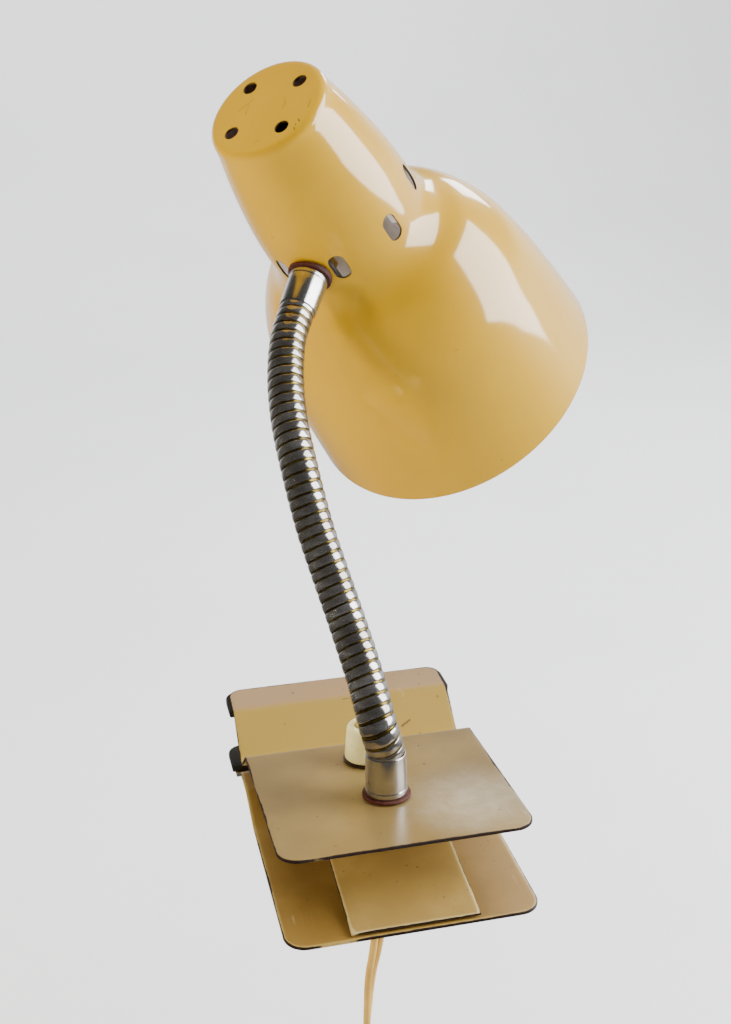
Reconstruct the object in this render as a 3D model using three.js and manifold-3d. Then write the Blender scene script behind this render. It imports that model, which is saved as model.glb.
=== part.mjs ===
// Clip-on reading lamp: a sprung clip of two stamped plates, a push switch,
// a flexible chrome neck and an enamelled shade with its lampholder and bulb.
// Millimetres, +Z up. The origin is the middle of the upper jaw pad's gripping
// face: the board lies under it, its edge along X, and the handles reach to -Y.
import * as THREE from 'three';
import { mergeVertices } from 'three/addons/utils/BufferGeometryUtils.js';
import Module from 'manifold-3d';

const wasm = await Module();
wasm.setup();

// ---------------------------------------------------------------- sizes
const gap = 0.3;                 // clearance between touching pieces

// clip plates
const plateWidth = 82;
const sheet = 1.0;               // thickness of the plates
const rearCorner = 7;            // plan radius of the handle corners
const handleFlare = 0.5;         // each side's widening towards the rear
const tipCorner = 5;             // plan radius of the jaw corners
const boardThickness = 20.8;     // the board that the clip is closed on
const padThickness = 2.7;
const padReach = 13.8;           // depth of the gripping face
const padOverhang = 1.3;         // the rubber stands out past the plate
const tipY = 7;                  // front edge of both jaws
const jawBendY = -8;             // where the jaw flank turns level
const valleyFrontY = -21.5;      // the level floor over the hinge
const valleyRearY = -26;
const upperRidgeY = -37.5;
const upperRidgeZ = 1.1;
const upperRearY = -109.3;
const upperRearZ = 6.34;
const lowerValleyRearY = -34;
const lowerRidgeY = -50;
const lowerRidgeZ = -19.8;
const lowerRearY = -116.7;
const lowerRearZ = -20.25;

// hinge
const pinRadius = 1.5;
const pinCentreY = -23.7;
const pinCentreZ = -12.7;
const lugRadius = 3.2;
const lugSheet = 1.2;
const lugInside = 23.0;          // inner face of the upper plate's lugs
const hingeRoom = 0.4;           // between each plate and what turns next to it

// spring
const springSheet = 0.8;
const springWidth = 42;
const springBendRadius = 4.0;
const springBendY = -41;
const springTipInset = 1.1;      // from the lower plate's rear edge
const springTipLift = 0.6;
const springWindowWidth = 22;
const springWindowRearY = -71;
const springUpperRearY = -92;
const springPartedFrom = 2;      // the bend's angles where the two halves end, kept
const springPartedTo = -40;      // apart by as much as the spring flexes

// gooseneck and its ferrules
const neckRadius = 5.9;
const neckBore = 3.6;
const neckParts = 8;
const neckJointGap = 1.5;
const ferruleHeight = 14;
const ferruleBaseRadius = 7.05;
const ferruleMouthRadius = 6.7;
const ferruleWall = 0.6;
const washerRadius = 8.1;
const washerThickness = 1.0;
const thread = 5.0;              // radius of the M10 nipples
const threadBore = 3.4;
const nutFlats = 14;
const nutHeight = 3;
const neckBaseY = -77.2;

// switch
const switchY = -50.5;
const collarHeight = 12;
const collarBaseRadius = 8.0;
const collarTopRadius = 7.0;
const collarBore = 4.3;
const buttonRadius = 3.3;
const buttonStandsOut = 5;
const buttonTravel = 2.2;
const switchThread = 5.6;
const switchBodyRadius = 7.8;
const switchBodyHeight = 8.4;

// shade and what is in it
const shadeLength = 158.5;
const shadeWall = 0.8;
const shadeTopRadius = 22.3;
const shadeTopRound = 2.8;
const shadeNeckRadius = 30.4;
const shadeMouthRadius = 62.1;
const shadeEntry = 52;           // from the flat top to the neck's entry
const slotCount = 8;
const slotLength = 11;
const slotWidth = 6;
const topHoleCount = 4;
const topHoleRadius = 2.6;
const topHoleCircle = 14.4;
const headTurn = 37.7;           // where the shade points, seen from above
const headDroop = 47.5;          // and how far below level
const entryRoll = 77.45;         // place of the neck's entry round the shade
const bracketSheet = 1.5;
const bracketWidth = 16;
const bracketTopAt = 12;         // its cross arm, from the flat top
const holderRadius = 17;
const holderLength = 44;
const bulbRadius = 30;
const bulbLength = 104;

// cord
const cordWidth = 5.4;
const cordThickness = 2.7;
const gripHole = 4.6;
const gripY = -62;
const gripTail = 22;
const hankWidth = 44;
const hankDepth = 28;
const hankHeight = 96;
const tieWall = 1.2;
const tieHeight = 6;
const plugPinSpacing = 19;
const plugPinRadius = 2.0;
const plugPinLength = 18;

// ---------------------------------------------------------------- finishes
const finish = (color, roughness, metalness = 0) =>
  new THREE.MeshStandardMaterial({ color, roughness, metalness });
const beigePaint = finish(0xb09c70, 0.4);
const goldenPaint = finish(0xac8c4c, 0.4);
const creamEnamel = finish(0xd8b858, 0.22);
const chrome = finish(0xc9c9c9, 0.12, 1);
const brass = finish(0xb8923f, 0.32, 1);
const steel = finish(0x9a9a98, 0.4, 1);
const blackRubber = finish(0x161514, 0.8);
const creamPlastic = finish(0xe0d9a0, 0.45);
const brownPlastic = finish(0x2b1a12, 0.3);
const redFibre = finish(0x7a3a2e, 0.85);
const cordPlastic = finish(0xd8b85a, 0.5);
const frostedGlass = finish(0xf1efe8, 0.35);

// ---------------------------------------------------------------- helpers
const degrees = THREE.MathUtils.degToRad;
const lamp = new THREE.Group();

function addPart(parent, name, geometry, material) {
  const mesh = new THREE.Mesh(geometry, material);
  mesh.name = name;
  parent.add(mesh);
  return mesh;
}

function toSolid(geometry) {
  const bare = geometry.clone();
  bare.deleteAttribute('normal');
  bare.deleteAttribute('uv');
  const merged = mergeVertices(bare, 1e-4);
  return new wasm.Manifold(new wasm.Mesh({
    numProp: 3,
    vertProperties: new Float32Array(merged.attributes.position.array),
    triVerts: new Uint32Array(merged.index.array),
  }));
}

function toGeometry(solid) {
  const mesh = solid.getMesh();
  const geometry = new THREE.BufferGeometry();
  geometry.setAttribute('position', new THREE.BufferAttribute(mesh.vertProperties, 3));
  geometry.setIndex(new THREE.BufferAttribute(mesh.triVerts, 1));
  return geometry;
}

function box(x0, x1, y0, y1, z0, z1) {
  const geometry = new THREE.BoxGeometry(x1 - x0, y1 - y0, z1 - z0);
  return geometry.translate((x0 + x1) / 2, (y0 + y1) / 2, (z0 + z1) / 2);
}

// A straight cylinder along Z from z0 to z1.
function post(radius, z0, z1, sides = 20, topRadius = radius) {
  const geometry = new THREE.CylinderGeometry(topRadius, radius, z1 - z0, sides);
  return geometry.rotateX(Math.PI / 2).translate(0, 0, (z0 + z1) / 2);
}

// A closed profile of [radius, height] points turned about Z.
function turned(profile, sides = 24) {
  const points = profile.map(([r, z]) => new THREE.Vector2(r, z));
  if (profile[0][0] > 0) points.push(points[0].clone());
  return new THREE.LatheGeometry(points, sides).rotateX(Math.PI / 2);
}

function ring(inner, outer, z0, z1, sides = 24) {
  return turned([[inner, z0], [outer, z0], [outer, z1], [inner, z1]], sides);
}

function cut(geometry, ...tools) {
  return toGeometry(tools.reduce((s, t) => s.subtract(toSolid(t)), toSolid(geometry)));
}

function join(geometry, ...others) {
  return toGeometry(others.reduce((s, t) => s.add(toSolid(t)), toSolid(geometry)));
}

function common(geometry, other) {
  return toGeometry(toSolid(geometry).intersect(toSolid(other)));
}

// Points along a bent line with each corner rounded: corners are [a, b, radius].
function roundedLine(corners, steps = 3) {
  const points = corners.map(([a, b]) => new THREE.Vector2(a, b));
  const line = [points[0]];
  for (let i = 1; i < points.length - 1; i += 1) {
    const before = points[i - 1].clone().sub(points[i]).normalize();
    const after = points[i + 1].clone().sub(points[i]).normalize();
    const half = Math.acos(before.dot(after)) / 2;
    const room = 0.48 * Math.min(points[i].distanceTo(points[i - 1]),
      points[i].distanceTo(points[i + 1]));
    const reach = Math.min(corners[i][2] / Math.tan(half), room);
    const radius = reach * Math.tan(half);
    const middle = before.clone().add(after).normalize();
    const centre = points[i].clone().addScaledVector(middle, radius / Math.sin(half));
    const from = points[i].clone().addScaledVector(before, reach).sub(centre);
    const to = points[i].clone().addScaledVector(after, reach).sub(centre);
    const turn = Math.atan2(from.cross(to), from.dot(to));
    for (let k = 0; k <= steps; k += 1) {
      line.push(from.clone().rotateAround(new THREE.Vector2(), turn * k / steps).add(centre));
    }
  }
  line.push(points[points.length - 1]);
  return line;
}

// The outline of a strip of even thickness about a line.
function stripShape(line, thickness) {
  const sides = [1, -1].map((side) => line.map((point, i) => {
    const previous = line[Math.max(i - 1, 0)];
    const next = line[Math.min(i + 1, line.length - 1)];
    const along = next.clone().sub(previous).normalize();
    return new THREE.Vector2(-along.y, along.x).multiplyScalar(side * thickness / 2).add(point);
  }));
  return new THREE.Shape([...sides[0], ...sides[1].reverse()]);
}

// A shape drawn in the Y-Z plane, carried along X from x0 to x1.
function alongX(shape, x0, x1) {
  const geometry = new THREE.ExtrudeGeometry(shape, { depth: x1 - x0, bevelEnabled: false });
  const turn = new THREE.Matrix4().makeBasis(new THREE.Vector3(0, 1, 0),
    new THREE.Vector3(0, 0, 1), new THREE.Vector3(1, 0, 0));
  return geometry.applyMatrix4(turn).translate(x0, 0, 0);
}

// A rectangle seen from above with its own radius at the rear and front corners,
// and its sides spread by flare at the rear.
function planShape(halfWidth, rearY, frontY, rearRadius, frontRadius, flare = 0) {
  const shape = new THREE.Shape();
  const rearHalf = halfWidth + flare;
  shape.moveTo(-rearHalf + rearRadius, rearY);
  shape.lineTo(rearHalf - rearRadius, rearY);
  shape.absarc(rearHalf - rearRadius, rearY + rearRadius, rearRadius, -Math.PI / 2, 0, false);
  shape.lineTo(halfWidth, frontY - frontRadius);
  shape.absarc(halfWidth - frontRadius, frontY - frontRadius, frontRadius, 0, Math.PI / 2, false);
  shape.lineTo(-halfWidth + frontRadius, frontY);
  shape.absarc(-halfWidth + frontRadius, frontY - frontRadius, frontRadius,
    Math.PI / 2, Math.PI, false);
  shape.lineTo(-rearHalf, rearY + rearRadius);
  shape.absarc(-rearHalf + rearRadius, rearY + rearRadius, rearRadius,
    Math.PI, 1.5 * Math.PI, false);
  return shape;
}

function extrudedUp(shape, z0, z1, curveSegments = 6) {
  return new THREE.ExtrudeGeometry(shape, { depth: z1 - z0, bevelEnabled: false, curveSegments })
    .translate(0, 0, z0);
}

// A hinge lug: a tab from the sheet with a round end about the pin.
function lug(x0, x1, rootZ) {
  const side = Math.sign(pinCentreZ - rootZ);
  const shape = new THREE.Shape();
  shape.moveTo(pinCentreY - lugRadius, rootZ);
  shape.lineTo(pinCentreY - lugRadius, pinCentreZ);
  shape.absarc(pinCentreY, pinCentreZ, lugRadius, Math.PI, 0, side > 0);
  shape.lineTo(pinCentreY + lugRadius, rootZ);
  return alongX(shape, x0, x1);
}

function pinHole(radius) {
  return alongX(new THREE.Shape().absarc(pinCentreY, pinCentreZ, radius, 0, 2 * Math.PI, false),
    -plateWidth, plateWidth);
}

// Openings in the lower plate that the upper plate's lugs swing through.
function lugWindows() {
  const reach = 4;
  const sweep = lugRadius + 2;
  const x0 = lugInside - 1.5;
  const x1 = lowerLug[0] - 0.1;
  return [[x0, x1], [-x1, -x0]].map(([from, to]) => box(from, to,
    pinCentreY - sweep, pinCentreY + sweep, lowerValleyZ - reach, lowerValleyZ + reach));
}

// ---------------------------------------------------------------- clip plates
const padTopZ = padThickness + gap;
const upperJawZ = padTopZ + sheet / 2;
const upperValleyZ = pinCentreZ + lugRadius + hingeRoom + sheet / 2;
const lowerValleyZ = pinCentreZ - pinRadius - hingeRoom - sheet / 2;
const lowerJawZ = -boardThickness - padThickness - gap - sheet / 2;
const upperLug = [lugInside, lugInside + lugSheet];
const lowerLug = [upperLug[1] + hingeRoom, upperLug[1] + hingeRoom + lugSheet];
const pinHalf = lowerLug[1] + 1.6;

const upperLine = roundedLine([
  [upperRearY, upperRearZ, 0],
  [upperRidgeY, upperRidgeZ, 4],
  [valleyRearY, upperValleyZ, 3],
  [valleyFrontY, upperValleyZ, 3],
  [jawBendY, upperJawZ, 4],
  [tipY, upperJawZ, 0],
]);
const lowerLine = roundedLine([
  [lowerRearY, lowerRearZ, 0],
  [lowerRidgeY, lowerRidgeZ, 8],
  [lowerValleyRearY, lowerValleyZ, 6],
  [valleyFrontY, lowerValleyZ, 3],
  [jawBendY, lowerJawZ, 4],
  [tipY, lowerJawZ, 0],
]);

const handleSlope = Math.atan2(upperRidgeZ - upperRearZ, upperRidgeY - upperRearY);
const handleTopZ = (y) => upperRearZ + Math.tan(handleSlope) * (y - upperRearY)
  + sheet / 2 / Math.cos(handleSlope);

// Things that stand on the upper handle are built upright in a group that is
// laid on the handle's slope.
function onHandle(y) {
  const group = new THREE.Group();
  group.position.set(0, y, handleTopZ(y));
  group.rotation.x = handleSlope;
  lamp.add(group);
  return group;
}

function plate(line, lugs, windows, holes) {
  const halfWidth = plateWidth / 2;
  const widest = halfWidth + handleFlare + 1;
  const strip = alongX(stripShape(line, sheet), -widest, widest);
  const rearY = line[0].x;
  const outline = extrudedUp(
    planShape(halfWidth, rearY - 0.2, tipY, rearCorner, tipCorner, handleFlare), -60, 60);
  const blank = cut(common(strip, outline), ...windows, ...holes);
  return cut(join(blank, ...lugs), pinHole(pinRadius + gap));
}

const upperLugs = [lug(upperLug[0], upperLug[1], upperValleyZ),
  lug(-upperLug[1], -upperLug[0], upperValleyZ)];
const lowerLugs = [lug(lowerLug[0], lowerLug[1], lowerValleyZ),
  lug(-lowerLug[1], -lowerLug[0], lowerValleyZ)];

function throughHandle(y, radius) {
  return post(radius, -12, 8).rotateX(handleSlope).translate(0, y, handleTopZ(y));
}

addPart(lamp, 'upper_plate', plate(upperLine, upperLugs, [],
  [throughHandle(neckBaseY, thread + gap), throughHandle(switchY, switchThread + gap)]),
beigePaint);
addPart(lamp, 'lower_plate', plate(lowerLine, lowerLugs, lugWindows(),
  [post(gripHole + gap, -40, 0).translate(0, gripY, 0)]),
beigePaint);

function jawPad(z0, z1) {
  const halfWidth = plateWidth / 2 + padOverhang;
  const frontY = tipY + padOverhang;
  return extrudedUp(planShape(halfWidth, tipY - padReach, frontY, 0.6, tipCorner), z0, z1);
}
addPart(lamp, 'upper_jaw_pad', jawPad(0, padThickness), blackRubber);
addPart(lamp, 'lower_jaw_pad', jawPad(-boardThickness - padThickness, -boardThickness),
  blackRubber);

const hingePin = post(pinRadius, -pinHalf, pinHalf, 20).rotateY(Math.PI / 2);
addPart(lamp, 'hinge_pin', hingePin.translate(0, pinCentreY, pinCentreZ), steel);

// ---------------------------------------------------------------- leaf spring
// One strip of spring steel, made here as two halves that part at the front of
// its bend: the upper leg is clamped under the handle, the lower one presses on
// the lower plate.
const springTopZ = (y) => handleTopZ(y) - (sheet + gap + springSheet / 2) / Math.cos(handleSlope);
const springBend = new THREE.Vector2(springBendY, springTopZ(springBendY) - springBendRadius);
const lowerTopZ = (y) => lowerRearZ + sheet / 2
  + (lowerRidgeZ - lowerRearZ) * (y - lowerRearY) / (lowerRidgeY - lowerRearY);
const springTipY = lowerRearY + springTipInset;
const springTip = new THREE.Vector2(springTipY,
  lowerTopZ(springTipY) + springTipLift + springSheet / 2);

function bendArc(fromAngle, toAngle, steps = 6) {
  return Array.from({ length: steps + 1 }, (_, i) => {
    const angle = degrees(fromAngle + (toAngle - fromAngle) * i / steps);
    return new THREE.Vector2(Math.cos(angle), Math.sin(angle))
      .multiplyScalar(springBendRadius).add(springBend);
  });
}
const halfSpring = springWidth / 2;
const windowX = springWindowWidth / 2;
const upperLeg = alongX(stripShape([
  new THREE.Vector2(springUpperRearY, springTopZ(springUpperRearY)),
  ...bendArc(90, springPartedFrom),
], springSheet), -halfSpring, halfSpring);
addPart(lamp, 'spring_upper_leg', cut(upperLeg,
  throughHandle(neckBaseY, thread + gap),
  throughHandle(switchY, switchThread + gap)), goldenPaint);

const legLean = springBend.clone().sub(springTip);
const legAngle = THREE.MathUtils.radToDeg(Math.atan2(legLean.y, legLean.x)
  - Math.asin(springBendRadius / legLean.length()));
const lowerLeg = alongX(stripShape([
  springTip,
  ...bendArc(legAngle - 90, springPartedTo, 3),
], springSheet), -halfSpring, halfSpring);
addPart(lamp, 'spring_lower_leg', cut(lowerLeg,
  box(-windowX, windowX, springWindowRearY, springBendY - 1, -24, springBend.y)), goldenPaint);

// ---------------------------------------------------------------- push switch
const atSwitch = onHandle(switchY);
const underSpring = -(sheet + gap + springSheet + gap);
addPart(atSwitch, 'switch_washer', ring(switchThread + gap, collarBaseRadius + 0.6, gap, 0.9),
  brownPlastic);
const collarFoot = 0.9 + gap;
const collarTop = collarFoot + collarHeight;
addPart(atSwitch, 'switch_collar', turned([
  [switchThread + gap, collarFoot],
  [collarBaseRadius, collarFoot],
  [collarBaseRadius, collarFoot + 1],
  [collarTopRadius, collarTop - 0.8],
  [collarTopRadius - 0.8, collarTop],
  [collarBore, collarTop],
  [collarBore, collarTop - 3],
  [switchThread + gap, collarTop - 3.4],
]), creamPlastic);
const bushTop = collarTop - 4.5;
addPart(atSwitch, 'switch_body', turned([
  [0, underSpring - switchBodyHeight],
  [switchBodyRadius - 1, underSpring - switchBodyHeight],
  [switchBodyRadius, underSpring - switchBodyHeight + 1],
  [switchBodyRadius, underSpring],
  [switchThread, underSpring],
  [switchThread, bushTop],
  [buttonRadius + gap, bushTop],
  [buttonRadius + gap, underSpring - 3.2],
  [0, underSpring - 3.2],
]), brownPlastic);
addPart(atSwitch, 'switch_button', turned([
  [0, underSpring - 3.2 + gap + buttonTravel],
  [buttonRadius, underSpring - 3.2 + gap + buttonTravel],
  [buttonRadius, collarTop + buttonStandsOut - 1.6],
  [buttonRadius - 0.5, collarTop + buttonStandsOut - 0.6],
  [buttonRadius - 1.5, collarTop + buttonStandsOut - 0.1],
  [0, collarTop + buttonStandsOut],
], 24), creamPlastic);
const terminalTop = underSpring - switchBodyHeight - gap;
for (const [name, x] of [['switch_terminal_left', -4], ['switch_terminal_right', 4]]) {
  addPart(atSwitch, name, box(x - 1.5, x + 1.5, -0.4, 0.4, terminalTop - 2.2, terminalTop), brass);
}

// ---------------------------------------------------------------- neck base
// A ferrule is a tapered thimble: its base end at z = 0, its mouth round the neck.
function ferrule() {
  return turned([
    [thread + gap, 0],
    [ferruleBaseRadius, 0],
    [ferruleBaseRadius, 1.6],
    [ferruleBaseRadius - 0.1, 4],
    [ferruleMouthRadius + 0.05, ferruleHeight - 2],
    [ferruleMouthRadius, ferruleHeight],
    [ferruleMouthRadius - ferruleWall + 0.25, ferruleHeight],
    [neckRadius + gap, ferruleHeight - 0.8],
    [neckRadius + gap, 5.2],
    [thread + gap, 4.4],
  ]);
}
function nut() {
  const shape = new THREE.Shape();
  const corner = nutFlats / Math.sqrt(3);
  for (let i = 0; i < 6; i += 1) {
    shape[i ? 'lineTo' : 'moveTo'](corner * Math.cos(i * Math.PI / 3),
      corner * Math.sin(i * Math.PI / 3));
  }
  shape.holes.push(new THREE.Path().absarc(0, 0, thread + gap, 0, 2 * Math.PI, true));
  return extrudedUp(shape, 0, nutHeight, 10);
}
const atNeckBase = onHandle(neckBaseY);
addPart(atNeckBase, 'base_washer', ring(thread + gap, washerRadius, gap, gap + washerThickness),
  redFibre);
const baseFerruleFoot = gap + washerThickness + gap;
addPart(atNeckBase, 'base_ferrule', ferrule().translate(0, 0, baseFerruleFoot), chrome);
addPart(atNeckBase, 'base_nut', nut().translate(0, 0, underSpring - nutHeight), brass);
addPart(atNeckBase, 'base_nipple', ring(threadBore, thread,
  underSpring - nutHeight - 1.5, baseFerruleFoot + 4), brass);

// ---------------------------------------------------------------- gooseneck
// Its middle line, from the mouth of the base ferrule to the shade's ferrule.
const neckPoints = [
  [-2.4, -75.8, 30],
  [-4.4, -67.5, 43],
  [-7.3, -57, 57],
  [-11.0, -47.3, 72],
  [-14.6, -38.8, 87],
  [-17.2, -28.6, 104],
  [-18.0, -16.0, 118],
  [-16.6, -4.2, 130],
  [-13.2, 6.6, 140],
];
const headEntry = new THREE.Vector3(-8.3, 15.1, 147.3);
const headAxis = new THREE.Vector3(Math.cos(degrees(headTurn)) * Math.cos(degrees(headDroop)),
  Math.sin(degrees(headTurn)) * Math.cos(degrees(headDroop)), -Math.sin(degrees(headDroop)));
const level = new THREE.Vector3().crossVectors(headAxis, new THREE.Vector3(0, 0, 1)).normalize();
const across = new THREE.Vector3().crossVectors(headAxis, level);
const entryOut = level.clone().multiplyScalar(Math.cos(degrees(entryRoll)))
  .addScaledVector(across, Math.sin(degrees(entryRoll)));
const baseUp = new THREE.Vector3(0, -Math.sin(handleSlope), Math.cos(handleSlope));
const neckSeat = new THREE.Vector3(0, neckBaseY, handleTopZ(neckBaseY))
  .addScaledVector(baseUp, baseFerruleFoot + 4.8 + gap);
const neckMouth = new THREE.Vector3(0, neckBaseY, handleTopZ(neckBaseY))
  .addScaledVector(baseUp, baseFerruleFoot + ferruleHeight);
const neckEnd = headEntry.clone().addScaledVector(entryOut, -(ferruleHeight - 4.8 - gap));
const neckRoute = new THREE.CatmullRomCurve3([
  neckSeat, neckMouth,
  ...neckPoints.map((p) => new THREE.Vector3(...p)),
  headEntry, neckEnd,
]);

class Stretch extends THREE.Curve {
  constructor(route, from, to) {
    super();
    Object.assign(this, { route, from, to });
  }

  getPoint(t, target = new THREE.Vector3()) {
    return this.route.getPointAt(this.from + (this.to - this.from) * t, target);
  }
}

function tube(route, from, to, outer, inner, sides, steps) {
  const shape = new THREE.Shape().absarc(0, 0, outer, 0, 2 * Math.PI, false);
  if (inner) shape.holes.push(new THREE.Path().absarc(0, 0, inner, 0, 2 * Math.PI, true));
  return new THREE.ExtrudeGeometry(shape, {
    steps, extrudePath: new Stretch(route, from, to), curveSegments: sides,
  });
}
const neckLength = neckRoute.getLength();
const hiddenStart = neckMouth.distanceTo(neckSeat) / neckLength;
const hiddenEnd = headEntry.distanceTo(neckEnd) / neckLength;
const freeNeck = 1 - hiddenStart - hiddenEnd;
const halfGap = neckJointGap / 2 / neckLength;
const neckJoint = (i) => hiddenStart + freeNeck * i / neckParts;
for (let i = 0; i < neckParts; i += 1) {
  const from = i === 0 ? 0 : neckJoint(i) + halfGap;
  const to = i === neckParts - 1 ? 1 : neckJoint(i + 1) - halfGap;
  addPart(lamp, `neck_${i + 1}`, tube(neckRoute, from, to, neckRadius, neckBore, 7, 4), chrome);
}

// ---------------------------------------------------------------- shade
// The head's own frame: z runs from the flat top to the mouth, x points out
// through the neck's entry.
function blendLine(points, steps) {
  const curve = new THREE.SplineCurve(points.map(([r, z]) => new THREE.Vector2(r, z)));
  return curve.getPoints(steps).map((p) => [p.x, p.y]);
}
const waistEnd = shadeEntry + 12.5;
function shadeProfile(inset) {
  const round = shadeTopRound - inset;
  const outline = [[0, inset]];
  for (let i = 0; i <= 3; i += 1) {
    const angle = Math.PI / 2 * i / 3;
    outline.push([shadeTopRadius - shadeTopRound + round * Math.sin(angle),
      shadeTopRound - round * Math.cos(angle)]);
  }
  const bell = shadeMouthRadius - shadeNeckRadius;
  const deep = shadeLength - waistEnd;
  const neckLine = blendLine([
    [shadeTopRadius - inset, shadeTopRound + 1],
    [shadeTopRadius + 0.46 * (shadeNeckRadius - shadeTopRadius) - inset, 0.38 * shadeEntry],
    [shadeNeckRadius - 1.1 - inset, 0.75 * shadeEntry],
    [shadeNeckRadius - inset, shadeEntry],
    [shadeNeckRadius + 0.4 - inset, waistEnd - 3],
    [shadeNeckRadius + 0.11 * bell - inset, waistEnd + 0.045 * deep],
    [shadeNeckRadius + 0.34 * bell - inset, waistEnd + 0.12 * deep],
    [shadeNeckRadius + 0.52 * bell - inset, waistEnd + 0.21 * deep],
    [shadeNeckRadius + 0.69 * bell - inset, waistEnd + 0.34 * deep],
    [shadeNeckRadius + 0.82 * bell - inset, waistEnd + 0.53 * deep],
    [shadeNeckRadius + 0.92 * bell - inset, waistEnd + 0.76 * deep],
    [shadeMouthRadius - inset, shadeLength],
  ], 14);
  return [...outline, ...neckLine];
}
const outside = shadeProfile(0);
const inside = shadeProfile(shadeWall).reverse();
const shadeSides = 40;
const shell = turned([...outside, ...inside], shadeSides);

function obround(length, width, depth0, depth1) {
  const r = width / 2;
  const half = length / 2 - r;
  const shape = new THREE.Shape();
  shape.absarc(0, half, r, 0, Math.PI, false);
  shape.absarc(0, -half, r, Math.PI, 2 * Math.PI, false);
  // drawn in Y-Z, carried along X
  return alongX(new THREE.Shape(shape.getPoints(6)), depth0, depth1);
}
const slots = Array.from({ length: slotCount }, (_, i) =>
  obround(slotLength, slotWidth, shadeNeckRadius - 8, shadeNeckRadius + 8)
    .translate(0, 0, shadeEntry)
    .rotateZ(degrees((i + 0.5) * 360 / slotCount)));
const topHoles = Array.from({ length: topHoleCount }, (_, i) =>
  post(topHoleRadius, -3, 6, 16)
    .translate(topHoleCircle, 0, 0)
    .rotateZ(degrees((i + 0.5) * 360 / topHoleCount)));
const entryHole = post(thread + gap, shadeNeckRadius - 8, shadeNeckRadius + 8)
  .rotateY(Math.PI / 2).translate(0, 0, shadeEntry);

const head = new THREE.Group();
const headY = new THREE.Vector3().crossVectors(headAxis, entryOut);
const headTurnMatrix = new THREE.Matrix4().makeBasis(entryOut, headY, headAxis);
const entryFace = shadeNeckRadius + gap + washerThickness + gap;
const headTop = headEntry.clone()
  .addScaledVector(entryOut, -(ferruleHeight + entryFace))
  .addScaledVector(headAxis, -shadeEntry);
head.applyMatrix4(headTurnMatrix.setPosition(headTop));
lamp.add(head);
addPart(head, 'shade', cut(shell, ...slots, ...topHoles, entryHole), creamEnamel);

// pieces on the neck's entry lie along the head's x axis
const entry = new THREE.Group();
entry.position.set(0, 0, shadeEntry);
entry.rotation.y = Math.PI / 2;
head.add(entry);
const washerFoot = shadeNeckRadius + gap;
const roundSeat = washerRadius * washerRadius / (2 * shadeNeckRadius);
addPart(entry, 'head_washer', cut(ring(thread + gap, washerRadius,
  washerFoot - roundSeat, washerFoot + washerThickness),
post(shadeNeckRadius + gap + 0.3, -30, 30, 64).rotateY(Math.PI / 2)), redFibre);
addPart(entry, 'head_ferrule', ferrule().translate(0, 0, entryFace), chrome);
const bracketFace = shadeNeckRadius - shadeWall - roundSeat - 1.2;
addPart(entry, 'head_nipple', ring(threadBore, thread,
  bracketFace - bracketSheet - gap - nutHeight - 1.5, entryFace + 4), brass);
addPart(entry, 'head_nut', nut().translate(0, 0, bracketFace - bracketSheet - gap - nutHeight),
  brass);

// ---------------------------------------------------------------- lampholder
// An angle bracket from the neck's entry to the lampholder's cap.
const bracketOuter = bracketFace;
const bracketTilt = [[bracketOuter - bracketSheet / 2, shadeEntry + 9],
  [bracketOuter - bracketSheet / 2, shadeEntry - 10],
  [shadeTopRadius - 6.5, bracketTopAt, 3],
  [-9, bracketTopAt]];
const bracketLine = roundedLine([
  [...bracketTilt[0], 0], [...bracketTilt[1], 6], bracketTilt[2], [...bracketTilt[3], 0],
]);
const bracketStrip = new THREE.ExtrudeGeometry(stripShape(bracketLine, bracketSheet),
  { depth: bracketWidth, bevelEnabled: false })
  .rotateX(Math.PI / 2).translate(0, bracketWidth / 2, 0);
addPart(head, 'holder_bracket', cut(bracketStrip,
  post(thread + gap, 10, 40).rotateY(Math.PI / 2).translate(0, 0, shadeEntry),
  post(thread + gap, 0, 30)), steel);
const underBracket = bracketTopAt + bracketSheet / 2 + gap;
addPart(head, 'holder_nipple', ring(threadBore, thread, bracketTopAt - 6, underBracket + 5.5),
  brass);
addPart(head, 'holder_nut', nut().translate(0, 0,
  bracketTopAt - bracketSheet / 2 - gap - nutHeight), brass);
addPart(head, 'holder_cap', turned([
  [thread + gap, underBracket],
  [thread + 4, underBracket],
  [holderRadius - 2, underBracket + 5],
  [holderRadius, underBracket + 9],
  [holderRadius, underBracket + 15],
  [holderRadius - 2, underBracket + 15],
  [holderRadius - 2, underBracket + 9],
  [thread + 3, underBracket + 3],
  [thread + gap, underBracket + 3],
]), brownPlastic);
const holderTop = underBracket + 15 + gap;
const holderMouth = underBracket + holderLength;
const contactAt = holderTop + 5;
addPart(head, 'holder_body', turned([
  [0, holderTop],
  [holderRadius, holderTop],
  [holderRadius, holderMouth - 2],
  [holderRadius - 0.8, holderMouth],
  [holderRadius - 2.2, holderMouth],
  [holderRadius - 2.2, holderTop + 3],
  [0, holderTop + 3],
]), brownPlastic);
addPart(head, 'holder_contact_spring', box(-3, 3, -9, 4, holderTop + 3 + gap, contactAt - 0.7)
  .toNonIndexed(), brass);
const threadOuter = holderRadius - 2.2 - gap;
addPart(head, 'holder_thread_shell', ring(threadOuter - 0.6, threadOuter,
  contactAt + 2, holderMouth - 2), brass);

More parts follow.
